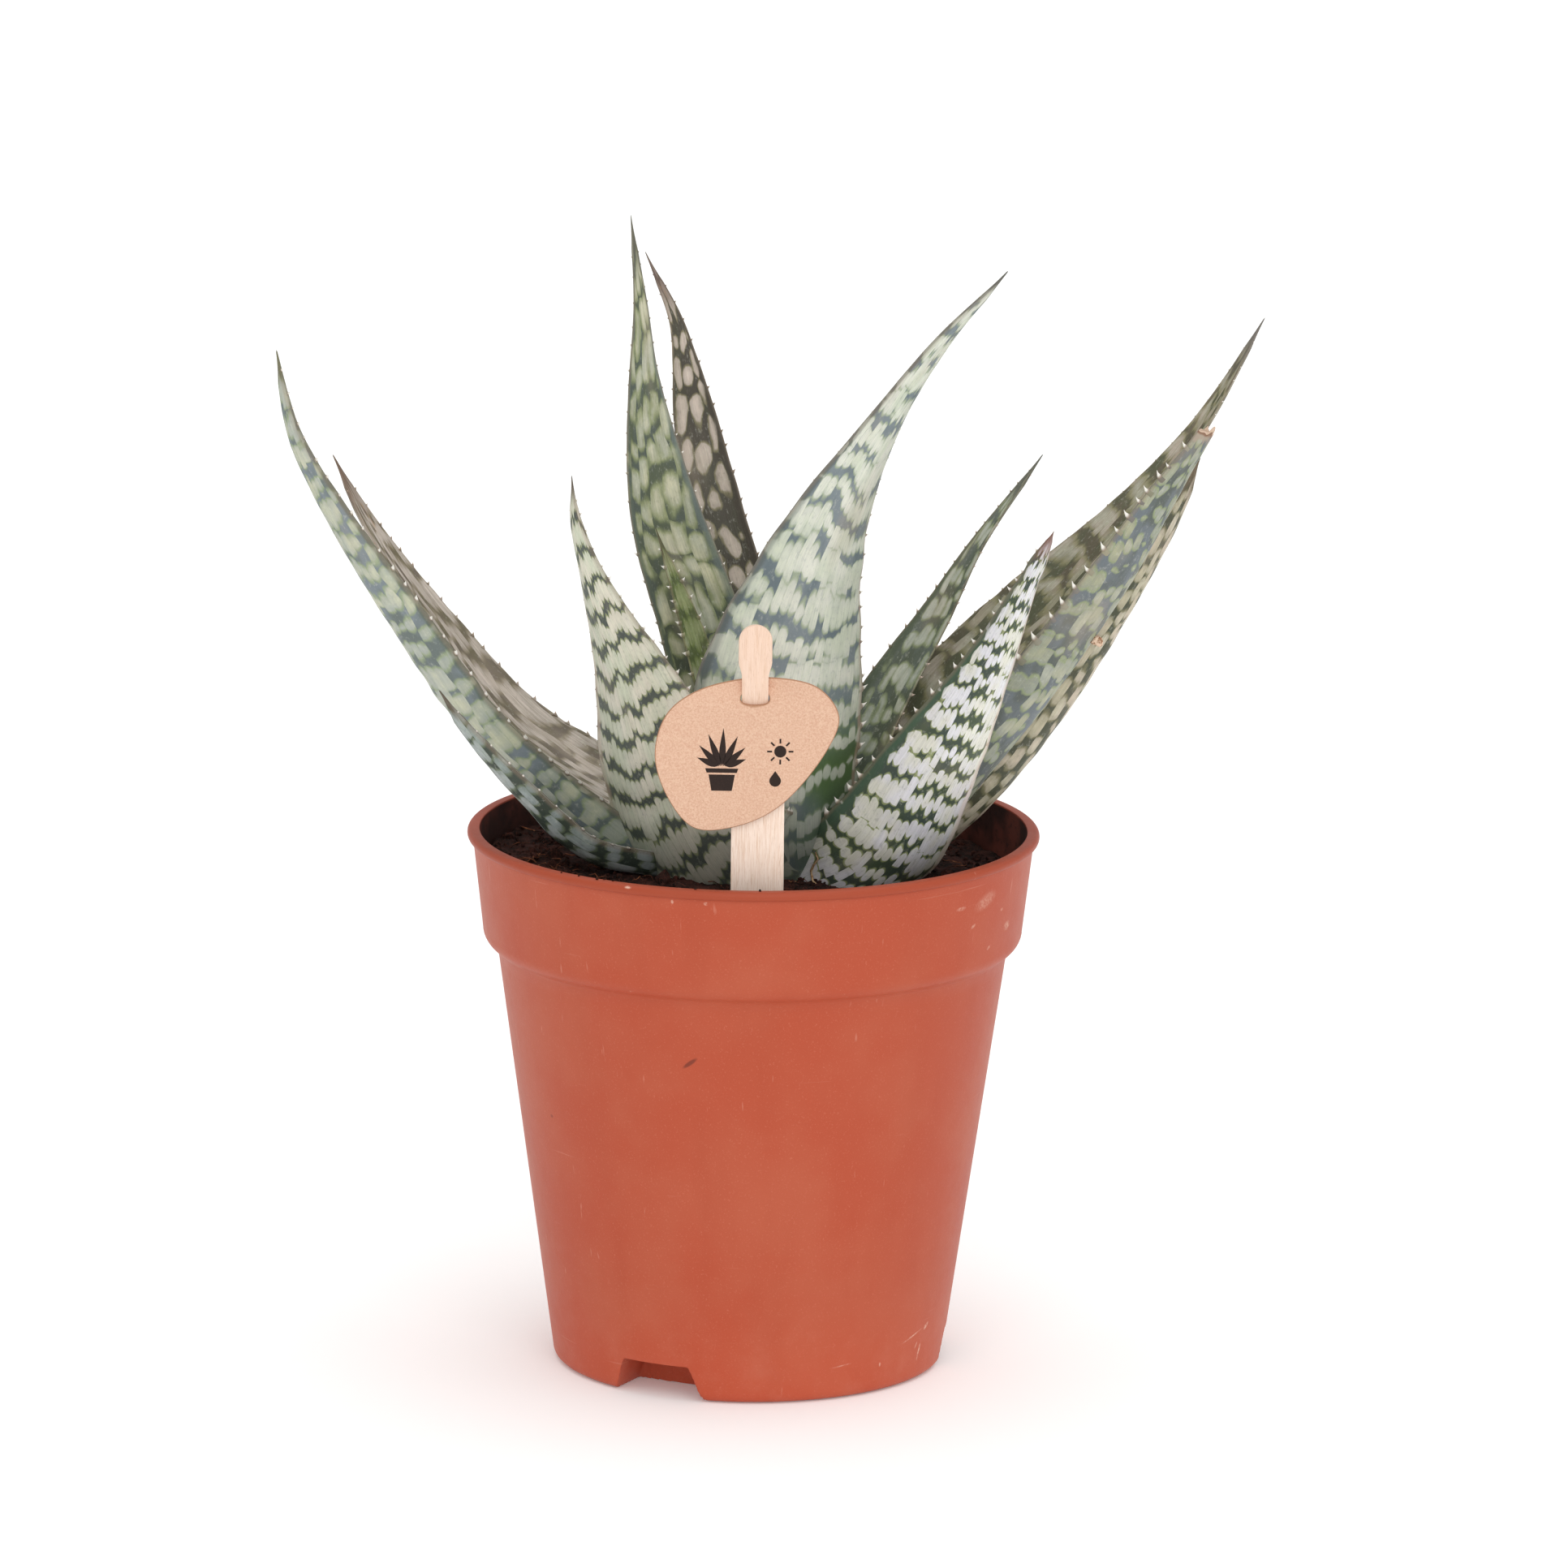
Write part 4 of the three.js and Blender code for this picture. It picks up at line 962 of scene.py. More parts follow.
def makeLeaf(name, leaf):
    s = leafShape
    stations = s["stations"]
    fractions = np.linspace(0, 1, stations)
    centre, along, face, across, width = leafFrames(leaf, fractions)
    lengths = np.concatenate([[0], np.cumsum(np.linalg.norm(np.diff(centre, axis=0), axis=1))])
    seed = int(leaf["seed"] * 10)
    isCut = leaf.get("cutEnd", False)
    half = np.maximum(width / 2, s["tipHalfWidth"])
    half = half * (1 + 0.012 * gentleWaves(lengths, seed, 14))
    slim = np.ones(stations)
    if not isCut:
        # the last few millimetres run out into a fine point
        point = np.clip((lengths[-1] - lengths) / leaf.get("pointLength", s["pointLength"]), 0, 1)
        half = half * (0.22 + 0.78 * point)
        slim = 0.3 + 0.7 * point
    widest = max(half.max(), 1)
    thickness = leaf["thickness"] * (1 - s["tipThinning"] * fractions)
    fullness = np.minimum(thickness, width * s["fullestSection"] + s["marginThickness"])
    # one section: the upper side from margin to margin, then the lower side back
    upper = np.sin(np.linspace(-math.pi / 2, math.pi / 2, s["upperPoints"]))
    sides = np.concatenate([upper, upper[-2:0:-1]])
    isUpper = np.concatenate([np.ones(len(upper)), np.zeros(len(upper) - 2)])
    ringSize = len(sides)
    keel = np.maximum(fullness - s["marginThickness"], 0)[:, None] * (1 - sides ** 2)[None, :]
    depth = (s["marginThickness"] + keel) * slim[:, None]
    rounding = np.clip(s["marginRounding"] / half, 0.02, 0.6)[:, None]
    beyond = np.clip((np.abs(sides)[None, :] - (1 - rounding)) / rounding, 0, 1)
    edge = np.sqrt(np.maximum(1 - beyond ** 2, 0))
    direction = np.where(isUpper > 0, 1.0, -1.0)[None, :]
    rise = channelDepth(half, fractions)[:, None] * (sides[None, :] ** 2 - s["channelLevel"])
    rise = rise + (direction * edge - 1) * depth / 2
    ripple = 0.16 * gentleWaves(lengths, seed + 5, 11)[:, None] * np.sin(sides * 2.2 + seed)[None, :]
    rise = rise + ripple * np.clip(half, 0, 6)[:, None] / 6
    points = (centre[:, None, :] + across[:, None, :] * (sides[None, :, None] * half[:, None, None])
              + face[:, None, :] * rise[:, :, None])
    if isCut:
        # the dried, uneven cut
        ragged = (0.5 * np.sin(sides * 5 + 1.0) - 0.25 + 0.35 * np.sin(sides * 11))[:, None]
        points[-1] += along[-1] * ragged
        points[-2] += along[-2] * ragged * 0.5
    # for the skin: how far across, along and from the margin, and the shares of length and half width
    leftSign = -1.0 if across[stations // 2][0] < 0 else 1.0
    columns = sides[None, :] * (0.45 * half + 0.55 * widest)[:, None] * leftSign
    margin = (1 - np.abs(sides))[None, :] * half[:, None]
    ones = np.ones((stations, ringSize))
    place = np.stack([columns, ones * lengths[:, None], margin], -1)
    part = np.stack([ones * fractions[:, None], ones * sides[None, :] * leftSign, ones * 0], -1)
    tipCentre = centre[-1] - face[-1] * depth[-1].max() * 0.5 + along[-1] * (-0.5 if isCut else 0.5)
    points = points.reshape(-1, 3).tolist()
    points += [(centre[0] - face[0] * fullness[0] * 0.5).tolist(), tipCentre.tolist()]
    fields = {"leafPlace": place.reshape(-1, 3).tolist() + [[0, 0, 9], [0, lengths[-1], 9]],
              "leafPart": part.reshape(-1, 3).tolist() + [[0, 0, 0], [1, 0, 0]]}
    faces = gridFaces(stations, ringSize)
    base = stations * ringSize
    closeEnds(faces, 0, base - ringSize, ringSize, base, base + 1)
    growTeeth(leaf, fractions, lengths, half, leftSign, points, faces, fields)
    points = np.array([list(p) for p in points])
    fields["leafFace"] = np.concatenate([np.tile(isUpper, stations), np.zeros(len(points) - base)])
    pieceFrom(name, points, faces, lizardSkin(name, leaf), [leaf["node"]], fields, 75)


def lizardSkin(name, leaf):
    # pale bars that run along the leaf and merge side by side, with jagged dark gaps across
    look = {**commonLook, **leaf["look"]}
    f = Finish(name + "Skin", specular=0.4)
    column, along, edge = f.parts(f.field("leafPlace"))
    share, side, tooth = f.parts(f.field("leafPart"))
    column = f.add(column, f.times(f.field("leafFace", True), look["faceShift"]))
    seed = leaf["seed"]

    def place(acrossScale, alongScale, shift=0):
        return f.place(f.times(column, acrossScale), f.times(along, alongScale), seed + shift)

    def wave(acrossScale, alongScale, shift, detail=2.0):
        return f.swing(place(acrossScale, alongScale, shift), 1.0, detail)

    broad = place(0.07, 0.05)
    lane = f.times(f.add(column, f.times(f.swing(broad, 1.0, 1.0), look["wander"])), 1 / look["columnWidth"])
    index = f.calc("FLOOR", lane)
    offset = f.calc("ABSOLUTE", f.less(f.less(lane, index), 0.5))
    one = f.draw(f.add(index, seed))
    two = f.draw(f.add(index, seed + 0.37))
    # how far along its own row of bars a point lies
    cell = f.add(f.times(along, 1 / look["bandLength"]), f.times(wave(0.075, 0.045, 4), look["drift"]),
                 f.times(f.less(one, 0.5), look["jitter"] / look["bandLength"] * 2))
    bar = f.calc("FLOOR", cell)
    toGap = f.times(f.less(0.5, f.calc("ABSOLUTE", f.less(f.less(cell, bar), 0.5))), look["bandLength"])
    three = f.draw(f.add(f.times(index, 7.31), f.times(bar, 3.77), seed))
    # some gaps are left out, the others differ in width
    present = f.swing(f.place(f.times(index, 0.33), f.times(cell, 0.8), seed + 9), 1.0, 2.0, 4.0)
    present = f.steps(present, look["missing"] * 2 - 1.25, look["missing"] * 2 - 0.75)
    wider = f.add(1.0, f.times(wave(0.13, 0.09, 31), look["uneven"]))
    gapWidth = f.times(f.add(0.55, f.times(three, 0.9)), look["gap"], present, wider)
    square = f.times(offset, offset, 4.0)
    value = f.less(f.less(toGap, gapWidth), f.times(square, look["corner"], f.add(0.15, present)))
    if look["sideGap"]:
        beside = f.times(f.less(0.5, offset), look["columnWidth"])
        beside = f.less(beside, f.times(f.add(0.5, two), look["sideGap"]))
        value = f.calc("SMOOTH_MIN", value, beside, 0.6)
    mottle = wave(0.2, 0.1, 12, 3.0)
    value = f.add(value, f.times(mottle, look["mottle"]), f.times(wave(1.1, 0.6, 15), 0.22))
    # strips along the margins, and the green foot of the middle leaf
    strips = []
    for key, sign in (("left", -1), ("right", 1)):
        if key in look:
            width, colour, cover, change = look[key]
            uneven = f.swing(f.place(f.times(along, 0.16), seed))
            reach = f.add(f.less(1.0, f.times(side, sign)), f.times(uneven, 0.25 * width))
            strip = f.fall(reach, width * 0.6, width * 1.3)
            value = f.add(value, f.times(strip, change))
            strips.append((strip, colour, cover))
    if "greenBase" in look:
        green, greenCover, reach, change = look["greenBase"]
        greenShare = f.times(f.fall(along, reach * 0.5, reach),
                             f.steps(f.add(side, f.times(f.swing(broad, 1.7), 0.3)), -0.1, 0.6))
        value = f.add(value, f.times(greenShare, change))
    pale = f.steps(value, -look["soft"], look["soft"])
    ring = f.steps(value, -0.45 - look["soft"] * 1.4, -0.2)
    fine = f.grain(place(3.2, 0.11), 1.0, 3.0, 0.6)
    tone = f.grain(place(0.16, 0.07, 2), 1.0, 3.0, 0.6)
    paleColour = f.mix(f.steps(tone, 0.38, 0.62), *look["pale"])
    paleColour = f.over(paleColour, look["chalk"], f.less(one, 0.45), 0.3)
    # bars are dimmer towards their ends and mottled
    core = f.steps(f.add(value, f.times(mottle, 0.5)), 0.1, 2.0)
    dim = f.mix(look["dim"], paleColour, look["dark"][0])
    paleColour = f.mix(f.add(0.25, f.times(core, 0.75)), dim, paleColour)
    darkTone = f.steps(f.add(tone, f.times(f.less(two, 0.5), 0.1)), 0.4, 0.6)
    colour = f.mix(ring, f.mix(darkTone, *look["dark"]), look["rim"])
    colour = f.mix(pale, colour, paleColour)
    # thin broken lines between some bars, grit and the fine striation
    seam = f.times(f.steps(offset, 0.4, 0.5), f.steps(two, 0.3, 0.5))
    dashes = f.grain(f.place(f.times(index, 0.9), f.times(along, 0.55), seed), 1.0, 2.0, 0.6)
    colour = f.over(colour, look["rim"], seam, f.steps(dashes, 0.4, 0.56), pale, look["seams"])
    grit = f.grain(place(1.3, 0.75, 44), 1.0, 4.0, 0.7)
    colour = f.over(colour, look["dark"][0], f.steps(grit, 0.52, 0.72), 0.28)
    colour = f.over(colour, look["paleGrit"], f.fall(grit, 0.3, 0.46), 0.22)
    colour = f.over(colour, look["dark"][1], f.fall(fine, 0.3, 0.7), look["striation"])
    colour = f.over(colour, look["blush"], f.steps(wave(0.1, 0.04, 21), 0.1, 0.9), 0.3)
    if "greenBase" in look:
        colour = f.over(colour, green, greenShare, f.less(1.0, f.times(pale, 0.75)), greenCover)
    for strip, stripColour, cover in strips:
        colour = f.over(colour, stripColour, strip, cover, f.less(1.0, f.times(pale, 0.4)))
    # painted shade: darker down in the rosette, where the leaves shade each other
    low = f.times(f.fall(f.add(along, f.times(mottle, 3.0)), 6, 34), look["baseShade"])
    colour = f.over(colour, look["dark"][1], low)
    colour = f.over(colour, look["depth"], low, 0.6)
    # rubbed brown margin and tip
    colour = f.over(colour, look["margin"], f.fall(edge, 0.1, 0.55), 0.4)
    patchy = wave(0.35, 0.16, 6, 3.0)
    tipShare = f.steps(f.add(share, f.times(patchy, 0.05)), look["tipStart"], 0.985)
    colour = f.over(colour, look["tip"], tipShare, 0.85)
    if "rust" in look:
        rust = f.times(f.steps(patchy, 0.35, 0.8), f.steps(share, look["rust"], look["rust"] + 0.08))
        colour = f.over(colour, look["rustColour"], rust, 0.75)
    if leaf.get("cutEnd"):
        dry = f.steps(f.add(share, f.times(patchy, 0.003)), 0.986, 0.994)
        colour = f.mix(dry, colour, look["dryEdge"])
        colour = f.mix(f.steps(share, 0.997, 0.999), colour, look["dryCut"])
    toothColour = f.mix(f.steps(tooth, 0.12, 0.5), look["margin"], look["tooth"])
    colour = f.mix(f.steps(tooth, 0.05, 0.24), colour, toothColour)
    rough = f.add(0.42, f.times(fine, 0.16), f.times(tipShare, 0.2))
    relief = f.add(f.times(fine, 0.7), f.times(pale, 0.25), f.times(f.grain(f.spot(), 1.1, 3, 0.6), 0.5))
    f.shader.inputs["Subsurface Weight"].default_value = 0.05
    f.shader.inputs["Subsurface Radius"].default_value = (0.6, 1.0, 0.4)
    f.shader.inputs["Subsurface Scale"].default_value = 0.0012
    return f.set(colour, rough, relief, 0.16, 0.7)


driedScar = {"centre": (71.1, -14.2, 158.1), "size": 1.15, "pale": "#e8cbb2", "dark": "#9a7253"}


def makeScar():
    # a small dried wound on the margin of the cut leaf
    points = []
    faces = []
    addCrumb(points, faces, driedScar["centre"], driedScar["size"], random.Random(5))
    f = Finish("driedScarSkin", roughness=0.75, specular=0.25)
    worn = f.grain(f.spot(), 1.4, 3, 0.6)
    colour = f.mix(f.steps(worn, 0.42, 0.6), driedScar["pale"], driedScar["dark"])
    pieceFrom("driedScar", points, faces, f.set(colour, None, worn, 0.1, 0.8), sharpAbove=80)


for leafName, leafValues in leaves.items():
    makeLeaf("leaf" + leafName[0].upper() + leafName[1:], leafValues)
makeScar()
print("stage: leaves")


# Label: a flat wooden stick with a round head that passes through a slit in a card tag

stick = {
    "x": 1, "y": -50.2, "top": 168.3, "foot": 80, "point": 6, "width": 10.9, "thickness": 1.3, "edge": 0.16,
    "headWidth": 6.9, "headLength": 19.5, "headStraight": 4.2, "headOffset": -0.8, "shoulder": 3,
    "neckWidth": 5.5, "waist": 3.2,
    "wood": "#efd2be", "broadGrain": "#ebcbb4", "paintedLightBelowCard": "#fdeadb", "darkGrain": "#e0bca1",
    "pores": "#c39a78", "damp": "#7a5a42",
}
tag = {
    "x": -1.3, "y": -51.6, "z": 141.2, "thickness": 1.1, "slitZ": 153, "slitHeight": 2.5, "slitWidth": 6.0,
    "slitPower": 2.6, "edge": 0.3, "around": 220, "rings": 44,
    "bendHalfWidth": 9, "bendHalfHeight": 2.4, "pushBack": 3.2, "pullForward": 0.3,
    "corners": [(-19, 0.5), (-16.4, 8.8), (-9.6, 13.7), (4.7, 15.8), (14.5, 14.2), (18.8, 8.4), (16.3, 1),
                (6.4, -10.9), (-3.4, -15.3), (-11, -15.3), (-16.8, -8.1)],
    # rim is the colour of the painted shade along the card's edges
    "kraft": "#cfa289", "fleckDark": "#a4714d", "fleckPale": "#e9c8ad", "rim": "#a87a5c",
}


def insetLoop(loop, inset):
    # every corner of an anticlockwise outline moved inwards by the same distance
    loop = np.asarray(loop, dtype=float)
    before = loop - np.roll(loop, 1, axis=0)
    after = np.roll(loop, -1, axis=0) - loop
    before /= np.linalg.norm(before, axis=1)[:, None]
    after /= np.linalg.norm(after, axis=1)[:, None]
    normal = np.stack([-(before + after)[:, 1], (before + after)[:, 0]], -1)
    normal /= np.linalg.norm(normal, axis=1)[:, None]
    square = np.stack([-before[:, 1], before[:, 0]], -1)
    stretch = 1 / np.maximum(np.sum(normal * square, axis=1), 0.4)
    return loop + normal * (inset * stretch)[:, None]


def stickOutline():
    s = stick
    radius = s["headWidth"] / 2
    neckHalf = s["neckWidth"] / 2
    half = s["width"] / 2
    headFoot = s["top"] - radius - s["headStraight"]
    shoulderTop = s["top"] - s["headLength"]
    neck = [(neckHalf, shoulderTop)]
    for share in np.linspace(0, 1, 9):
        reach = neckHalf + (radius - neckHalf) * smoothStep(share, 0, 1)
        neck.append((reach, headFoot - s["waist"] * (1 - share)))
    corners = [(0, s["foot"]), (half, s["foot"] + s["point"]), (half, shoulderTop - s["shoulder"])]
    corners += [(s["headOffset"] + x, z) for x, z in neck]
    corners += [(s["headOffset"] + radius * math.cos(a), s["top"] - radius + radius * math.sin(a))
                for a in np.linspace(0, math.pi, 25)]
    corners += [(s["headOffset"] - x, z) for x, z in reversed(neck)]
    corners += [(-half, shoulderTop - s["shoulder"]), (-half, s["foot"] + s["point"])]
    loop = []
    for start, end in zip(corners, corners[1:] + corners[:1]):
        loop += straightPoints(start, end, max(1, int(math.dist(start, end) / 2.5)))
    return np.array(loop)


def makeStick():
    loop = stickOutline()
    count = len(loop)
    half = stick["thickness"] / 2
    edge = stick["edge"]
    rings = [(edge, -half), (edge * 0.3, -half + edge * 0.3), (0, -half + edge),
             (0, half - edge), (edge * 0.3, half - edge * 0.3), (edge, half)]
    points = []
    for inset, y in rings:
        points += [(stick["x"] + x, stick["y"] + y, z) for x, z in insetLoop(loop, inset)]
    faces = turnedOver(gridFaces(len(rings), count))
    faces.append(tuple(range(count)))
    faces.append(tuple(reversed(range(len(points) - count, len(points)))))
    f = Finish("paleWood", specular=0.35)
    spot = f.spot()
    fine = f.streaks(spot, (5.0, 5.0, 0.16), 3, 0.65)
    pores = f.streaks(spot, (9.0, 9.0, 0.5), 2)
    z = f.parts(spot)[2]
    broad = f.streaks(spot, (0.35, 0.5, 0.03))
    colour = f.mix(f.steps(broad, 0.35, 0.68), stick["wood"], stick["broadGrain"])
    # painted light: below the card the stick is painted paler, against the shade of the card and the leaves
    colour = f.over(colour, stick["paintedLightBelowCard"], f.steps(z, 150, 143), 0.8)
    colour = f.over(colour, stick["darkGrain"], f.steps(fine, 0.42, 0.68), 0.6)
    colour = f.over(colour, stick["pores"], f.steps(pores, 0.58, 0.7), 0.45)
    damp = f.fall(f.add(z, f.times(f.swing(spot, 0.5), 1.2)), 103, 106.5)
    colour = f.over(colour, stick["damp"], damp, 0.6)
    f.set(colour, f.add(0.55, f.times(fine, 0.2)), f.add(fine, f.times(pores, 0.6)), 0.12, 0.8)
    pieceFrom("labelStick", points, faces, f.material, ["label_stick"], sharpAbove=40)


def closedCurve(corners, count):
    knots = np.array(corners, dtype=float)
    total = len(knots)
    loop = []
    for step in range(count):
        at = step / count * total
        index = int(at)
        loop.append(curveStep(*(knots[(index + k) % total] for k in (-1, 0, 1, 2)), at - index))
    return np.array(loop)


def cardOffset(x, z):
    # the card is bent at its slit: pushed back above it, where it hangs on the stick's neck
    reach = np.exp(-(((x - stick["x"]) / tag["bendHalfWidth"]) ** 2))
    above = smoothStep(z, tag["slitZ"] - tag["bendHalfHeight"], tag["slitZ"] + tag["bendHalfHeight"])
    return reach * (above * tag["pushBack"] - tag["pullForward"])


def makeTag():
    around = tag["around"]
    steps = tag["rings"]
    loop = closedCurve(tag["corners"], around * 3) + np.array([tag["x"], tag["z"]])
    if np.sum(loop[:, 0] * np.roll(loop[:, 1], -1) - np.roll(loop[:, 0], -1) * loop[:, 1]) < 0:
        loop = loop[::-1]
    centre = np.array([stick["x"] + stick["headOffset"], tag["slitZ"]])
    bearing = np.unwrap(np.arctan2(loop[:, 1] - centre[1], loop[:, 0] - centre[0]))
    order = np.argsort(bearing)
    angles = np.linspace(0, fullTurn, around, endpoint=False)
    distance = np.hypot(loop[:, 0] - centre[0], loop[:, 1] - centre[1])
    outerRadius = np.interp(angles, bearing[order], distance[order], period=fullTurn)
    # the slit is a flat oval
    power = tag["slitPower"]
    innerRadius = (np.abs(np.cos(angles) / tag["slitWidth"] * 2) ** power
                   + np.abs(np.sin(angles) / tag["slitHeight"] * 2) ** power) ** (-1 / power)
    half = tag["thickness"] / 2
    edge = tag["edge"]
    rings = [(innerRadius + (outerRadius - edge - innerRadius) * (k / steps) ** 0.9, -half)
             for k in range(steps + 1)]
    for turn in np.linspace(0, math.pi / 2, 5)[1:]:
        rings.append((outerRadius - edge + edge * math.sin(turn), -half + edge - edge * math.cos(turn)))
    edgeShadeShare = [1.0] + [0.0] * steps + [0.7, 1.0, 1.0, 1.0]
    points = []
    for radius, y in rings + [(radius, -y) for radius, y in reversed(rings)]:
        x = centre[0] + radius * np.cos(angles)
        z = centre[1] + radius * np.sin(angles)
        points.append(np.stack([x, tag["y"] + y + cardOffset(x, z), z], -1))
    faces = gridFaces(len(points), around)
    last = (len(points) - 1) * around
    for i in range(around):
        j = (i + 1) % around
        faces.append((last + i, last + j, j, i))
    f = Finish("kraftCard", specular=0.2)
    spot = f.spot()
    pulp = f.grain(spot, 2.6, 4, 0.7)
    flecks = f.grain(spot, 3.8, 3, 0.7)
    colour = f.mix(f.add(0.12, f.times(f.steps(pulp, 0.36, 0.64), 0.52)), tag["kraft"], tag["fleckPale"])
    colour = f.over(colour, tag["fleckDark"], f.steps(flecks, 0.56, 0.7), 0.42)
    colour = f.over(colour, tag["fleckPale"], f.steps(f.streaks(spot, (0.6, 1.5, 4.0)), 0.6, 0.72), 0.3)
    # painted shade: the card's outline and the slit's edge are painted darker
    rim = f.steps(f.field("cardEdgeShade", True), 0.25, 0.9)
    colour = f.over(colour, tag["rim"], rim, f.add(0.55, f.times(flecks, 0.6)))
    f.set(colour, f.add(0.78, f.times(pulp, 0.1)), f.add(pulp, f.times(flecks, 0.6)), 0.1, 0.8)
    pieceFrom("labelTag", np.concatenate(points), turnedOver(faces), f.material, ["label_tag"],
              {"cardEdgeShade": np.repeat(edgeShadeShare + edgeShadeShare[::-1], around)}, 50)


# A plain care mark printed on the card: a little pot with a fan of pointed leaves, a sun and a drop

tagMark = {
    "x": -6.5, "z": 139.0, "lift": 0.03, "depth": 0.04, "ink": "#2a1d18", "wornInk": "#4a362c",
    "fan": [(-68, 4.6), (-44, 6.0), (-21, 7.2), (2, 8.0), (25, 7.0), (47, 5.8), (70, 4.4)],  # lean, length
    "leafWidth": 1.5,
    "potShapes": [[(-3.4, -0.5), (-3.1, -1.4), (3.1, -1.4), (3.4, -0.5)],
                  [(-2.7, -1.8), (-2.1, -5.2), (2.1, -5.2), (2.7, -1.8)]],
    "sun": (12.0, 3.2, 1.25), "rays": 8, "rayReach": 2.2, "rayLength": 1.0, "rayWidth": 0.36,
    "drop": (11.0, -3.0, 1.2), "dropPoint": 2.1,
}


def turnedShape(shape, x, z, angle):
    # an outline turned anticlockwise and moved
    c = math.cos(angle)
    s = math.sin(angle)
    return [(x + u * c - v * s, z + u * s + v * c) for u, v in shape]


def markShapes():
    m = tagMark
    shapes = []
    for lean, length in m["fan"]:
        leaf = [(t * length, math.sin(math.pi * t ** 0.75) * m["leafWidth"] / 2 * (1 - 0.25 * t))
                for t in np.linspace(0, 1, 9)]
        leaf += [(u, -v) for u, v in reversed(leaf[1:-1])]
        shapes.append(turnedShape(leaf, lean * 0.012, 0, math.radians(90 - lean)))
    shapes += m["potShapes"]
    x, z, radius = m["sun"]
    shapes.append([(x + radius * math.cos(a), z + radius * math.sin(a))
                   for a in np.arange(24) / 24 * fullTurn])
    for k in range(m["rays"]):
        turn = k / m["rays"] * fullTurn
        u = m["rayLength"] / 2
        v = m["rayWidth"] / 2
        shapes.append(turnedShape([(-u, -v), (u, -v), (u, v), (-u, v)], x + m["rayReach"] * math.cos(turn),
                                  z + m["rayReach"] * math.sin(turn), turn))
    x, z, radius = m["drop"]
    shapes.append([(x + radius * math.sin(a), z - radius * math.cos(a)) for a in np.linspace(-2.1, 2.1, 17)]
                  + [(x, z + m["dropPoint"])])
    return [[(m["x"] + u, m["z"] + v) for u, v in shape] for shape in shapes]


def makeTagMark():
    points = []
    faces = []
    for shape in markShapes():
        if sum(p[0] * q[1] - q[0] * p[1] for p, q in zip(shape, shape[1:] + shape[:1])) < 0:
            shape = shape[::-1]
        start = len(points)
        count = len(shape)
        for lift in (tagMark["lift"], -tagMark["depth"]):
            for x, z in shape:
                front = tag["y"] - tag["thickness"] / 2 + float(cardOffset(x, z))
                points.append((x, front - lift, z))
        faces.append(tuple(start + k for k in range(count)))
        faces.append(tuple(start + count + k for k in reversed(range(count))))
        for k in range(count):
            j = (k + 1) % count
            faces.append((start + j, start + k, start + count + k, start + count + j))
    f = Finish("blackInk", specular=0.25)
    worn = f.grain(f.spot(), 4.5, 3, 0.7)
    colour = f.over(tagMark["ink"], tagMark["wornInk"], f.steps(worn, 0.5, 0.72), 0.35)
    f.set(colour, f.add(0.6, f.times(worn, 0.2)), worn, 0.03, 0.5)
    pieceFrom("tagMark", points, faces, f.material, sharpAbove=30)


makeStick()
makeTag()
makeTagMark()
print("stage: label")


# Light, floor and camera

view = {"elevation": 12.78, "distance": 2686, "targetX": 5.92, "targetZ": 123.5, "roll": 0.63,
        "focalPixels": 15776.8, "imageHeight": 1932, "sensor": 36}
studio = {
    "room": 0.66,
    "lamps": [  # name, where it shines from, strength, softness in degrees
        ("keyLight", (0.0, -1.0, 0.7), 0.85, 50),
        ("fillLight", (0.9, -0.8, 0.4), 0.35, 70),
        ("topLight", (0.1, 0.15, 1.0), 0.8, 60),
    ],
    "floorSize": 12.0, "floorZ": -0.0002, "floorGlow": 0.12, "floorPale": "#fbfbfa", "floorGrey": "#f8f8f7",
}


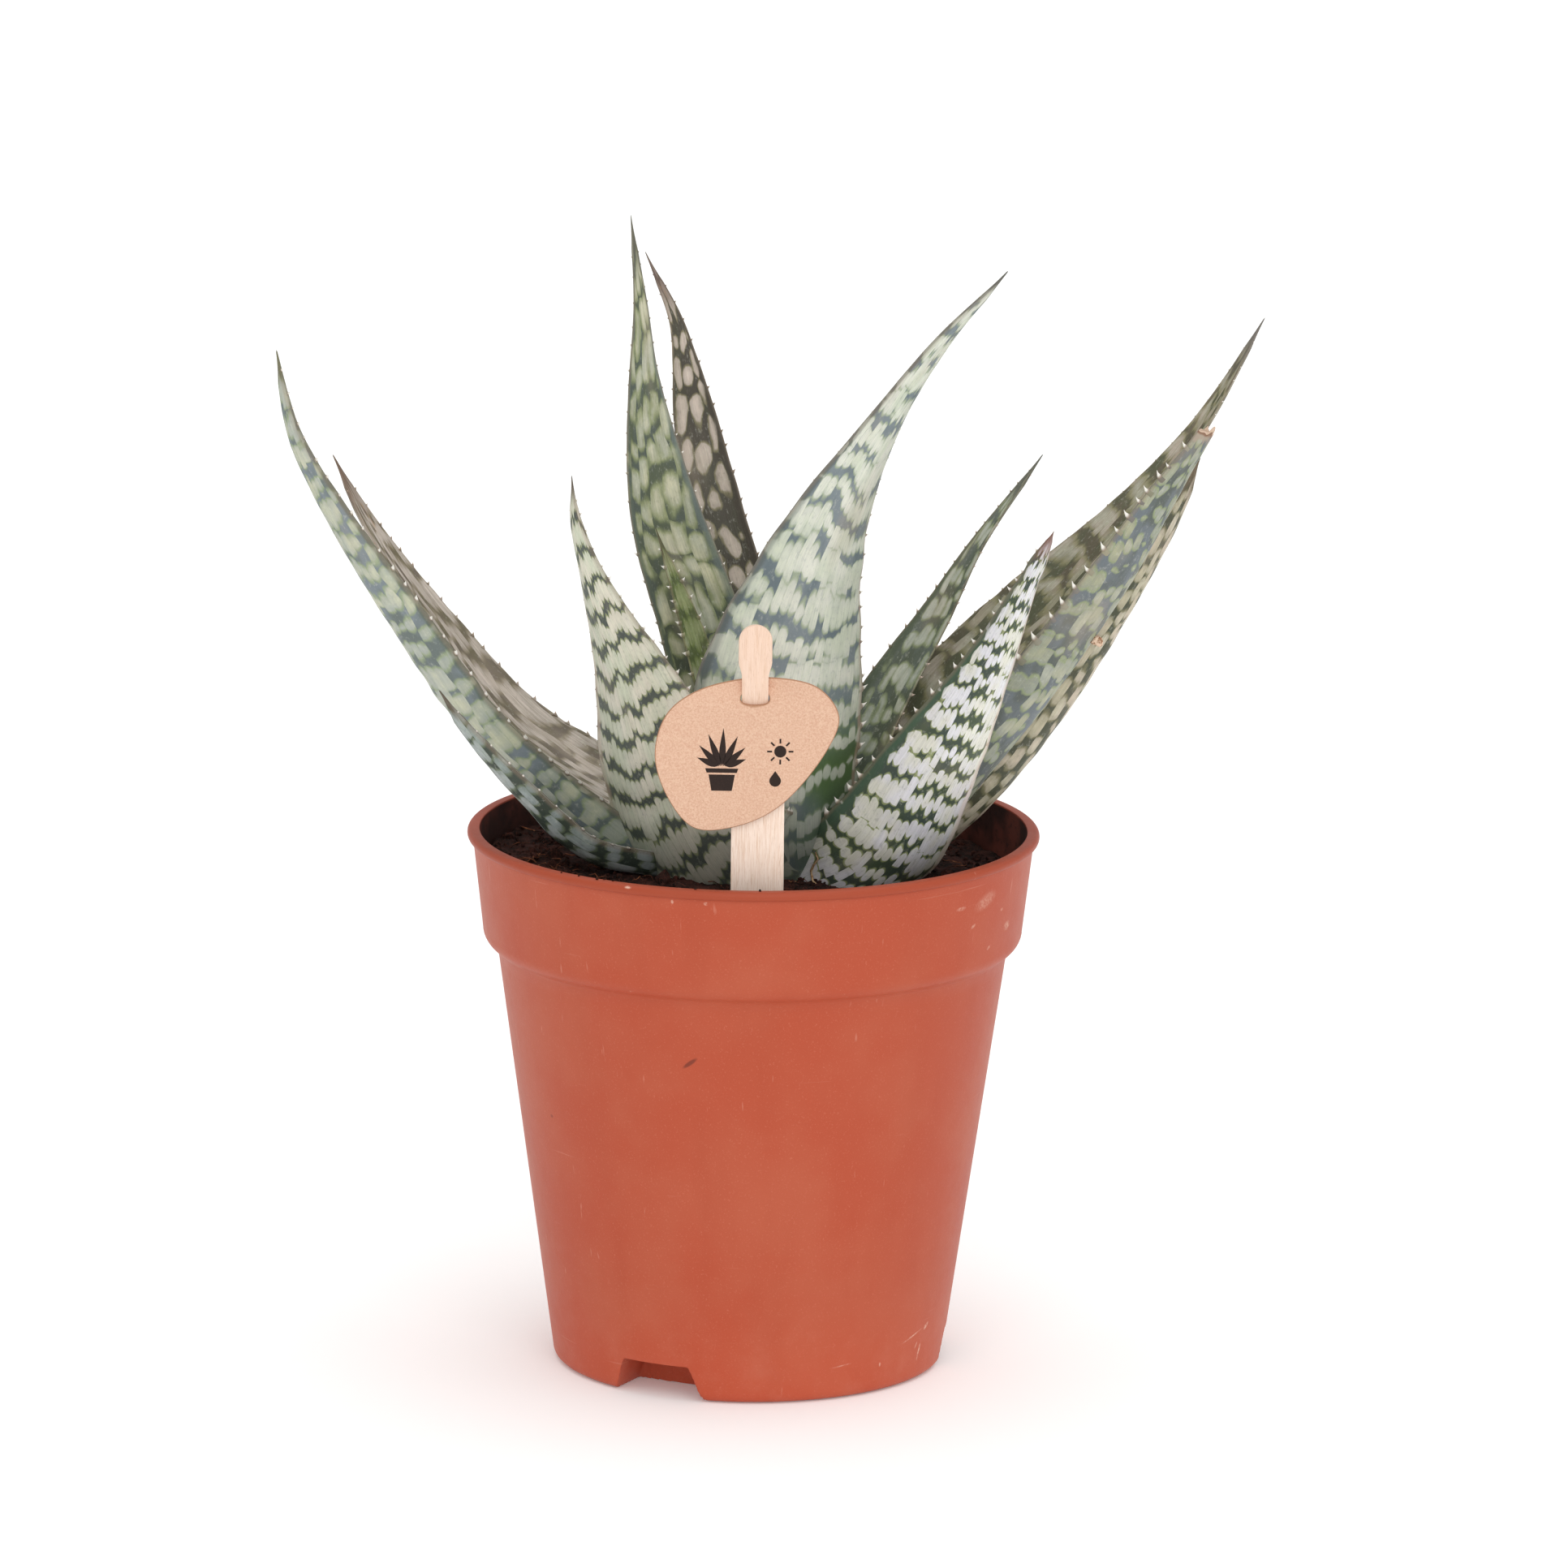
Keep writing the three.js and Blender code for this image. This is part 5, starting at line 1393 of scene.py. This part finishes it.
def addLight(name, towards, strength, softness):
    data = bpy.data.lights.new(name, "SUN")
    data.energy = strength
    data.angle = math.radians(softness)
    lamp = bpy.data.objects.new(name, data)
    lamp.location = Vector(towards).normalized() * 2
    lamp.rotation_euler = (-Vector(towards)).to_track_quat("-Z", "Y").to_euler()
    bpy.context.collection.objects.link(lamp)


def makeStage():
    floor = bpy.data.meshes.new("paleFloor")
    size = studio["floorSize"]
    corners = [(-size, -size), (size, -size), (size, size), (-size, size)]
    floor.from_pydata([(x, y, studio["floorZ"]) for x, y in corners], [], [(0, 1, 2, 3)])
    f = Finish("paleFloorFinish", roughness=0.9, specular=0.1)
    f.shader.inputs["Emission Color"].default_value = (1, 1, 1, 1)
    f.shader.inputs["Emission Strength"].default_value = studio["floorGlow"]
    cloudy = f.steps(f.grain(f.spot(), 0.9, 3, 0.6), 0.3, 0.7)
    floor.materials.append(f.set(f.mix(cloudy, studio["floorPale"], studio["floorGrey"])))
    ground = bpy.data.objects.new("paleFloor", floor)
    bpy.context.collection.objects.link(ground)
    world = bpy.data.worlds.new("softRoom")
    world.use_nodes = True
    world.node_tree.nodes["Background"].inputs[0].default_value = (1, 1, 1, 1)
    world.node_tree.nodes["Background"].inputs[1].default_value = studio["room"]
    bpy.context.scene.world = world
    for lamp in studio["lamps"]:
        addLight(*lamp)


def makeCamera():
    v = view
    tilt = math.radians(v["elevation"])
    roll = math.radians(v["roll"])
    back = Vector((0, -math.cos(tilt), math.sin(tilt)))
    right = Vector((1, 0, 0))
    up = Vector((0, math.sin(tilt), math.cos(tilt)))
    rolledRight = right * math.cos(roll) + up * math.sin(roll)
    rolledUp = up * math.cos(roll) - right * math.sin(roll)
    data = bpy.data.cameras.new("photoCamera")
    data.sensor_width = v["sensor"]
    data.sensor_fit = "AUTO"
    data.lens = v["focalPixels"] * v["sensor"] / v["imageHeight"]
    data.clip_start = 0.1
    data.clip_end = 50
    camera = bpy.data.objects.new("photoCamera", data)
    matrix = Matrix((rolledRight, rolledUp, back)).transposed().to_4x4()
    matrix.translation = (Vector((v["targetX"], 0, v["targetZ"])) + back * v["distance"]) * mm
    camera.matrix_world = matrix
    bpy.context.collection.objects.link(camera)
    bpy.context.scene.camera = camera


makeStage()
makeCamera()
print("stage: light and camera")

bpy.context.view_layer.update()
